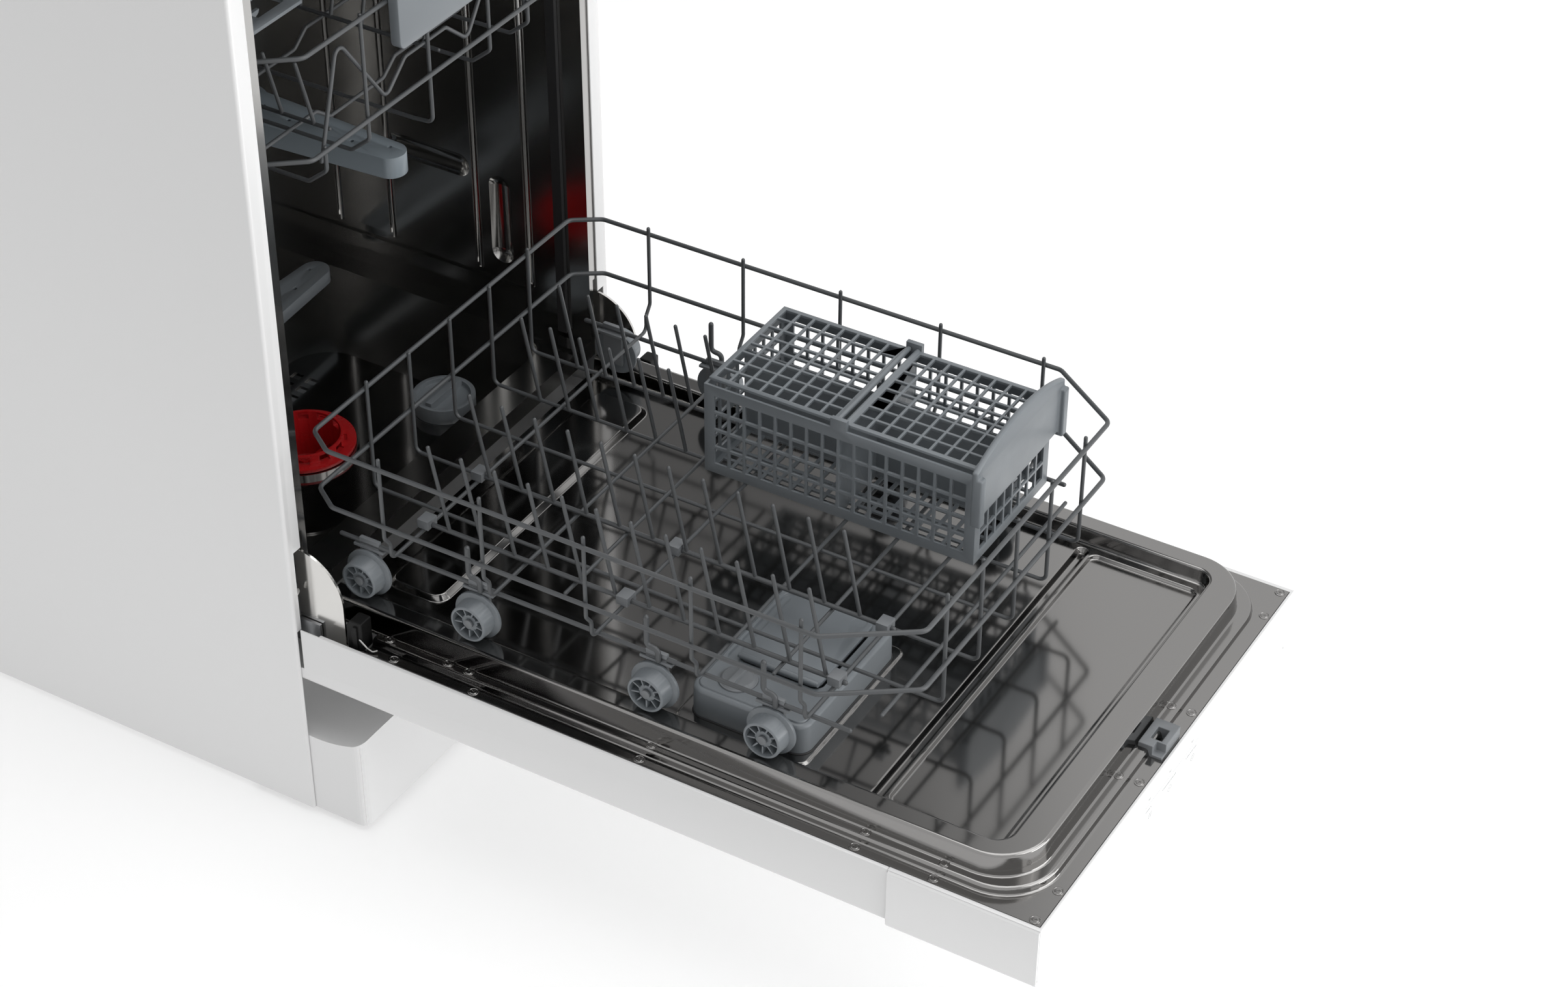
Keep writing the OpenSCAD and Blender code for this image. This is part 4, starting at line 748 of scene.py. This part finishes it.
def ring_strokes(x, z, radius, count=16, width=0.35):
    """Short strokes that form a ring."""
    strokes = []
    for k in range(count):
        a, b = math.tau * k / count, math.tau * (k + 1) / count
        corners = ((radius, a), (radius, b), (radius - width, b), (radius - width, a))
        strokes.append([(x + r * math.cos(t), z + r * math.sin(t)) for r, t in corners])
    return strokes


def stroke(x0, x1, z, height):
    """An upright or level stroke whose lower side is at z."""
    return [(x0, z), (x1, z), (x1, z + height), (x0, z + height)]


def end_face_marks():
    """A rule with three groups of strokes over and under it, and rings and slanting strokes below."""
    marks = [stroke(-48.6, 45.8, LINE_Z, 0.25)]
    for x, width in ((-42.0, 10), (-6.0, 24), (33.0, 20)):
        over, under = LINE_Z + 4.4, LINE_Z - 5.6
        marks.append(stroke(x - 1.3, x - 0.3, over, 1.8))
        marks.append(stroke(x + 0.2, x + 1.6, over, 0.5))
        marks.append(stroke(x + 0.2, x + 1.6, LINE_Z + 5.7, 0.5))
        for k in range(width // 2):
            left = x - width / 2 + 2.0 * k
            marks.append(stroke(left, left + (1.5 if k % 3 else 1.1), under, 1.1))
    for x, radius in ((36.0, 3.1), (36.0, 1.6), (-4.4, 3.1)):
        marks += ring_strokes(x, RING_Z, radius)
    marks.append(stroke(-5.8, -3.0, RING_Z - 0.2, 0.5))
    low, high = RING_Z - 2.4, RING_Z + 2.2
    for foot, tip in ((-41.5, -39.4), (-38.6, -36.6)):
        marks.append([(foot, low), (tip, high), (tip + 0.8, high), (foot + 0.8, low)])
    return marks


mark_runs = lengthwise(end_face_marks(), DOOR_END_Y - 0.05, DOOR_END_Y + 0.2)
extruded("end_face_marks", mark_runs, PRINT_GREY, "door", 0)

# pins that stand on the lower rack's keel wires beside the wheels: distance from the wheel, and height
WHEEL_Y = (-400, -300, -141)
PIN_X = RACK_HALF - 15
PIN = [(7, RACK_Z + 36), (7, RACK_Z + 10), (-3, RACK_Z + 9), (-3, RACK_Z - 1)]
pins = [[(side * PIN_X, y + off, z) for off, z in PIN] for side in (-1, 1) for y in WHEEL_Y]
wires("keel_pins", pins, [], 4.4, 4, "lower_rack")


# screws
def screw_tree():
    """Geometry nodes that set a screw on every point, turned about its axis by a fixed random amount."""
    tree = bpy.data.node_groups.new("Screws on points", "GeometryNodeTree")
    face = tree.interface
    face.new_socket("Geometry", in_out="INPUT", socket_type="NodeSocketGeometry")
    face.new_socket("Screw", in_out="INPUT", socket_type="NodeSocketObject")
    face.new_socket("Metal", in_out="INPUT", socket_type="NodeSocketMaterial")
    seed = face.new_socket("Seed", in_out="INPUT", socket_type="NodeSocketInt")
    seed.default_value = 3
    face.new_socket("Geometry", in_out="OUTPUT", socket_type="NodeSocketGeometry")
    new = tree.nodes.new
    link = tree.links.new
    start = new("NodeGroupInput")
    head = new("GeometryNodeObjectInfo")
    normal = new("GeometryNodeInputNamedAttribute")
    normal.data_type = "FLOAT_VECTOR"
    normal.inputs["Name"].default_value = "outward"
    aim = new("FunctionNodeAlignRotationToVector")
    aim.axis = "Z"
    spin = new("FunctionNodeRandomValue")
    spin.inputs[3].default_value = math.tau
    turn = new("ShaderNodeCombineXYZ")
    twist = new("FunctionNodeRotateRotation")
    twist.rotation_space = "LOCAL"
    put = new("GeometryNodeInstanceOnPoints")
    real = new("GeometryNodeRealizeInstances")
    coat = new("GeometryNodeSetMaterial")
    end = new("NodeGroupOutput")
    link(start.outputs["Screw"], head.inputs["Object"])
    link(start.outputs["Seed"], spin.inputs["Seed"])
    link(normal.outputs["Attribute"], aim.inputs["Vector"])
    link(spin.outputs[1], turn.inputs["Z"])
    link(aim.outputs[0], twist.inputs["Rotation"])
    link(turn.outputs[0], twist.inputs["Rotate By"])
    link(start.outputs["Geometry"], put.inputs["Points"])
    link(head.outputs["Geometry"], put.inputs["Instance"])
    link(twist.outputs[0], put.inputs["Rotation"])
    link(put.outputs[0], real.inputs[0])
    link(real.outputs[0], coat.inputs[0])
    link(start.outputs["Metal"], coat.inputs["Material"])
    link(coat.outputs[0], end.inputs[0])
    return tree


def screw_head(radius, height):
    """A flat head with a ring groove and a cross recess, as a helper object."""
    shape = bmesh.new()
    sides = 36
    # radius and height of each ring, as shares of the head's
    section = [(1.0, 0.0), (1.0, 0.7), (0.94, 1.0), (0.82, 1.0), (0.76, 0.35), (0.68, 0.35),
               (0.60, 1.0), (0.40, 1.05)]
    turns = [math.tau * k / sides for k in range(sides)]

    def ring(radii, level):
        return [shape.verts.new((r * math.cos(t), r * math.sin(t), height * level))
                for r, t in zip(radii, turns)]

    rows = [ring([radius * share] * sides, level) for share, level in section]
    # the cross recess has four arms, each made by three of the ring's points
    cross = [radius * (0.34 if k % 9 in (0, 1, 8) else 0.11) for k in range(sides)]
    rows.append(ring(cross, 1.03))
    rows.append(ring([r * 0.8 for r in cross], 0.2))
    for a, b in zip(rows, rows[1:]):
        for k in range(sides):
            shape.faces.new((a[k], a[(k + 1) % sides], b[(k + 1) % sides], b[k]))
    shape.faces.new(rows[-1])
    mesh = bpy.data.meshes.new("Screw head")
    shape.to_mesh(mesh)
    shape.free()
    return bpy.data.objects.new("Screw head", mesh)


SCREWS = screw_tree()


def screws(name, places, body, radius=4.3, height=0.5, metal=SCREW_STEEL):
    """Screws at places given as ((x, y, z), (outward direction))."""
    mesh = bpy.data.meshes.new(name)
    mesh.from_pydata([at(*p) for p, n in places], [], [])
    outward = mesh.attributes.new("outward", "FLOAT_VECTOR", "POINT")
    for k, (p, n) in enumerate(places):
        outward.data[k].vector = n
    head = screw_head(radius / 1000, height / 1000)
    piece = baked(name, mesh, SCREWS, {"Screw": head, "Metal": metal, "Seed": 3}, body)
    bpy.data.objects.remove(head)
    return piece


UP = (0, 0, 1)
FLANGE_X, FLANGE_END = 213, -637
LEDGE_X = 201


def on_flanks(x, stations, z):
    """Upright screws on both flanks of the door."""
    return [((side * x, y, z), UP) for side in (-1, 1) for y in stations]


liner_places = on_flanks(FLANGE_X, (-86, -160, -309, -492, -556), DOOR_IN_Z)
liner_places += [((x, FLANGE_END - 1, DOOR_IN_Z), UP) for x in (-179, -46, 45, 180)]
liner_places += on_flanks(FLANGE_X, (FLANGE_END,), DOOR_IN_Z)
liner_places += on_flanks(LEDGE_X, (-74, -129, -148, -312, -494, -558), STEP_Z)
liner_places += [((x, -624, STEP_Z), UP) for x in (-53, 38)]
flange_places = [((side * 216, 1.5, 224), (0, -1, 0)) for side in (-1, 1)]
back_places = [((side * 214, 556, z), (0, 1, 0)) for side in (-1, 1) for z in (160, 380, 600, 800)]
screws("liner_screws", liner_places, "door", metal=STAINLESS)
screws("flange_screws", flange_places, "cabinet", radius=3.4)
screws("back_panel_screws", back_places, "cabinet", radius=3.4)


# floor, light and camera
def stage_floor():
    """A pale floor that keeps the dishwasher's shadow."""
    shape = bmesh.new()
    bmesh.ops.create_grid(shape, x_segments=1, y_segments=1, size=12.0)
    floor = made("Studio floor", shape)
    mat = bpy.data.materials.new("Pale studio floor")
    mat.use_nodes = True
    nt = mat.node_tree
    shader = nt.nodes["Principled BSDF"]
    shader.inputs["Base Color"].default_value = (0.72, 0.72, 0.72, 1)
    shader.inputs["Roughness"].default_value = 0.8
    shader.inputs["Specular IOR Level"].default_value = 0.1
    shader.inputs["Emission Color"].default_value = (1, 1, 1, 1)
    shader.inputs["Emission Strength"].default_value = 0.42
    floor.data.materials.append(mat)


def world():
    """White for the camera, glossy and transmission rays, with a dark corner for all but the camera, and a
    softer white that lights the dishwasher."""
    sky = bpy.data.worlds.new("Studio")
    SCENE.world = sky
    sky.use_nodes = True
    nt = sky.node_tree
    nt.nodes.clear()
    new = nt.nodes.new
    link = nt.links.new
    rays = new("ShaderNodeLightPath")
    pale = new("ShaderNodeBackground")
    pale.inputs["Color"].default_value = (1, 1, 1, 1)
    soft = new("ShaderNodeBackground")
    soft.inputs["Color"].default_value = (1, 1, 1, 1)
    soft.inputs["Strength"].default_value = 0.47
    # the studio's dark corner, which the steel mirrors in part
    way = new("ShaderNodeTexCoord")
    dot = new("ShaderNodeVectorMath")
    dot.operation = "DOT_PRODUCT"
    dot.inputs[1].default_value = Vector((0.40, 0.64, 0.65)).normalized()
    fade = new("ShaderNodeMapRange")
    fade.interpolation_type = "SMOOTHSTEP"
    fade.inputs["From Min"].default_value = 0.893
    fade.inputs["From Max"].default_value = 0.930
    fade.inputs["To Min"].default_value = 1.0
    fade.inputs["To Max"].default_value = 0.26
    bright, seen, both = new("ShaderNodeMath"), new("ShaderNodeMath"), new("ShaderNodeMath")
    for larger in (bright, seen, both):
        larger.operation = "MAXIMUM"
    mix = new("ShaderNodeMixShader")
    out = new("ShaderNodeOutputWorld")
    link(way.outputs["Generated"], dot.inputs[0])
    link(dot.outputs["Value"], fade.inputs["Value"])
    link(rays.outputs["Is Camera Ray"], bright.inputs[0])
    link(fade.outputs["Result"], bright.inputs[1])
    link(bright.outputs[0], pale.inputs["Strength"])
    link(rays.outputs["Is Camera Ray"], seen.inputs[0])
    link(rays.outputs["Is Glossy Ray"], seen.inputs[1])
    link(seen.outputs[0], both.inputs[0])
    link(rays.outputs["Is Transmission Ray"], both.inputs[1])
    link(both.outputs[0], mix.inputs[0])
    link(soft.outputs[0], mix.inputs[1])
    link(pale.outputs[0], mix.inputs[2])
    link(mix.outputs[0], out.inputs["Surface"])


def area(name, place, target, size, power):
    """A rectangular softbox of size metres at place, aimed at target."""
    lamp = bpy.data.lights.new(name, "AREA")
    lamp.shape = "RECTANGLE"
    lamp.size = size[0]
    lamp.size_y = size[1]
    lamp.energy = power
    obj = bpy.data.objects.new(name, lamp)
    SCENE.collection.objects.link(obj)
    obj.location = place
    obj.rotation_euler = (Vector(target) - Vector(place)).to_track_quat("-Z", "Y").to_euler()


# the photograph's frame in pixels, and the fitted camera: focal length and optical centre in those
# pixels, place in millimetres, and turns in degrees
PHOTO_WIDTH, PHOTO_HEIGHT = 2408, 1516
FOCAL_PX = 4972.64
CENTRE_PX = (1222.77, 764.94)
CAMERA_PLACE = (-1709.3, -1303.0, 1790.5)
CAMERA_YAW, CAMERA_PITCH, CAMERA_ROLL = 60.04, 37.08, 0.62
SENSOR = 36.0


def camera():
    """The photograph's camera."""
    yaw, pitch, roll = (math.radians(a) for a in (CAMERA_YAW, CAMERA_PITCH, CAMERA_ROLL))
    ahead = Vector((math.sin(yaw) * math.cos(pitch), math.cos(yaw) * math.cos(pitch), -math.sin(pitch)))
    right = Vector((math.cos(yaw), -math.sin(yaw), 0))
    up = right.cross(ahead)
    side = math.cos(roll) * right + math.sin(roll) * up
    top = math.cos(roll) * up - math.sin(roll) * right
    lens = bpy.data.cameras.new("Photo camera")
    lens.sensor_width = SENSOR
    lens.lens = FOCAL_PX / PHOTO_WIDTH * SENSOR
    lens.shift_x = -(CENTRE_PX[0] - PHOTO_WIDTH / 2) / PHOTO_WIDTH
    lens.shift_y = (CENTRE_PX[1] - PHOTO_HEIGHT / 2) / PHOTO_WIDTH
    lens.clip_end = 50
    cam = bpy.data.objects.new("Photo camera", lens)
    SCENE.collection.objects.link(cam)
    turn = Matrix((side, top, -ahead)).transposed().to_4x4()
    cam.matrix_world = Matrix.Translation(at(*CAMERA_PLACE)) @ turn
    SCENE.camera = cam


stage_floor()
world()
area("Front softbox", (0.3, -3.2, 2.4), (0, -0.2, 0.3), (3.0, 2.4), 44)
area("Low front softbox", (0.5, -2.6, 0.35), (0, -0.1, 0.1), (1.6, 0.5), 14)
area("Top softbox", (0.4, -0.5, 3.4), (0, -0.2, 0.2), (3.0, 3.0), 38)
camera()
SCENE.view_settings.view_transform = "Standard"
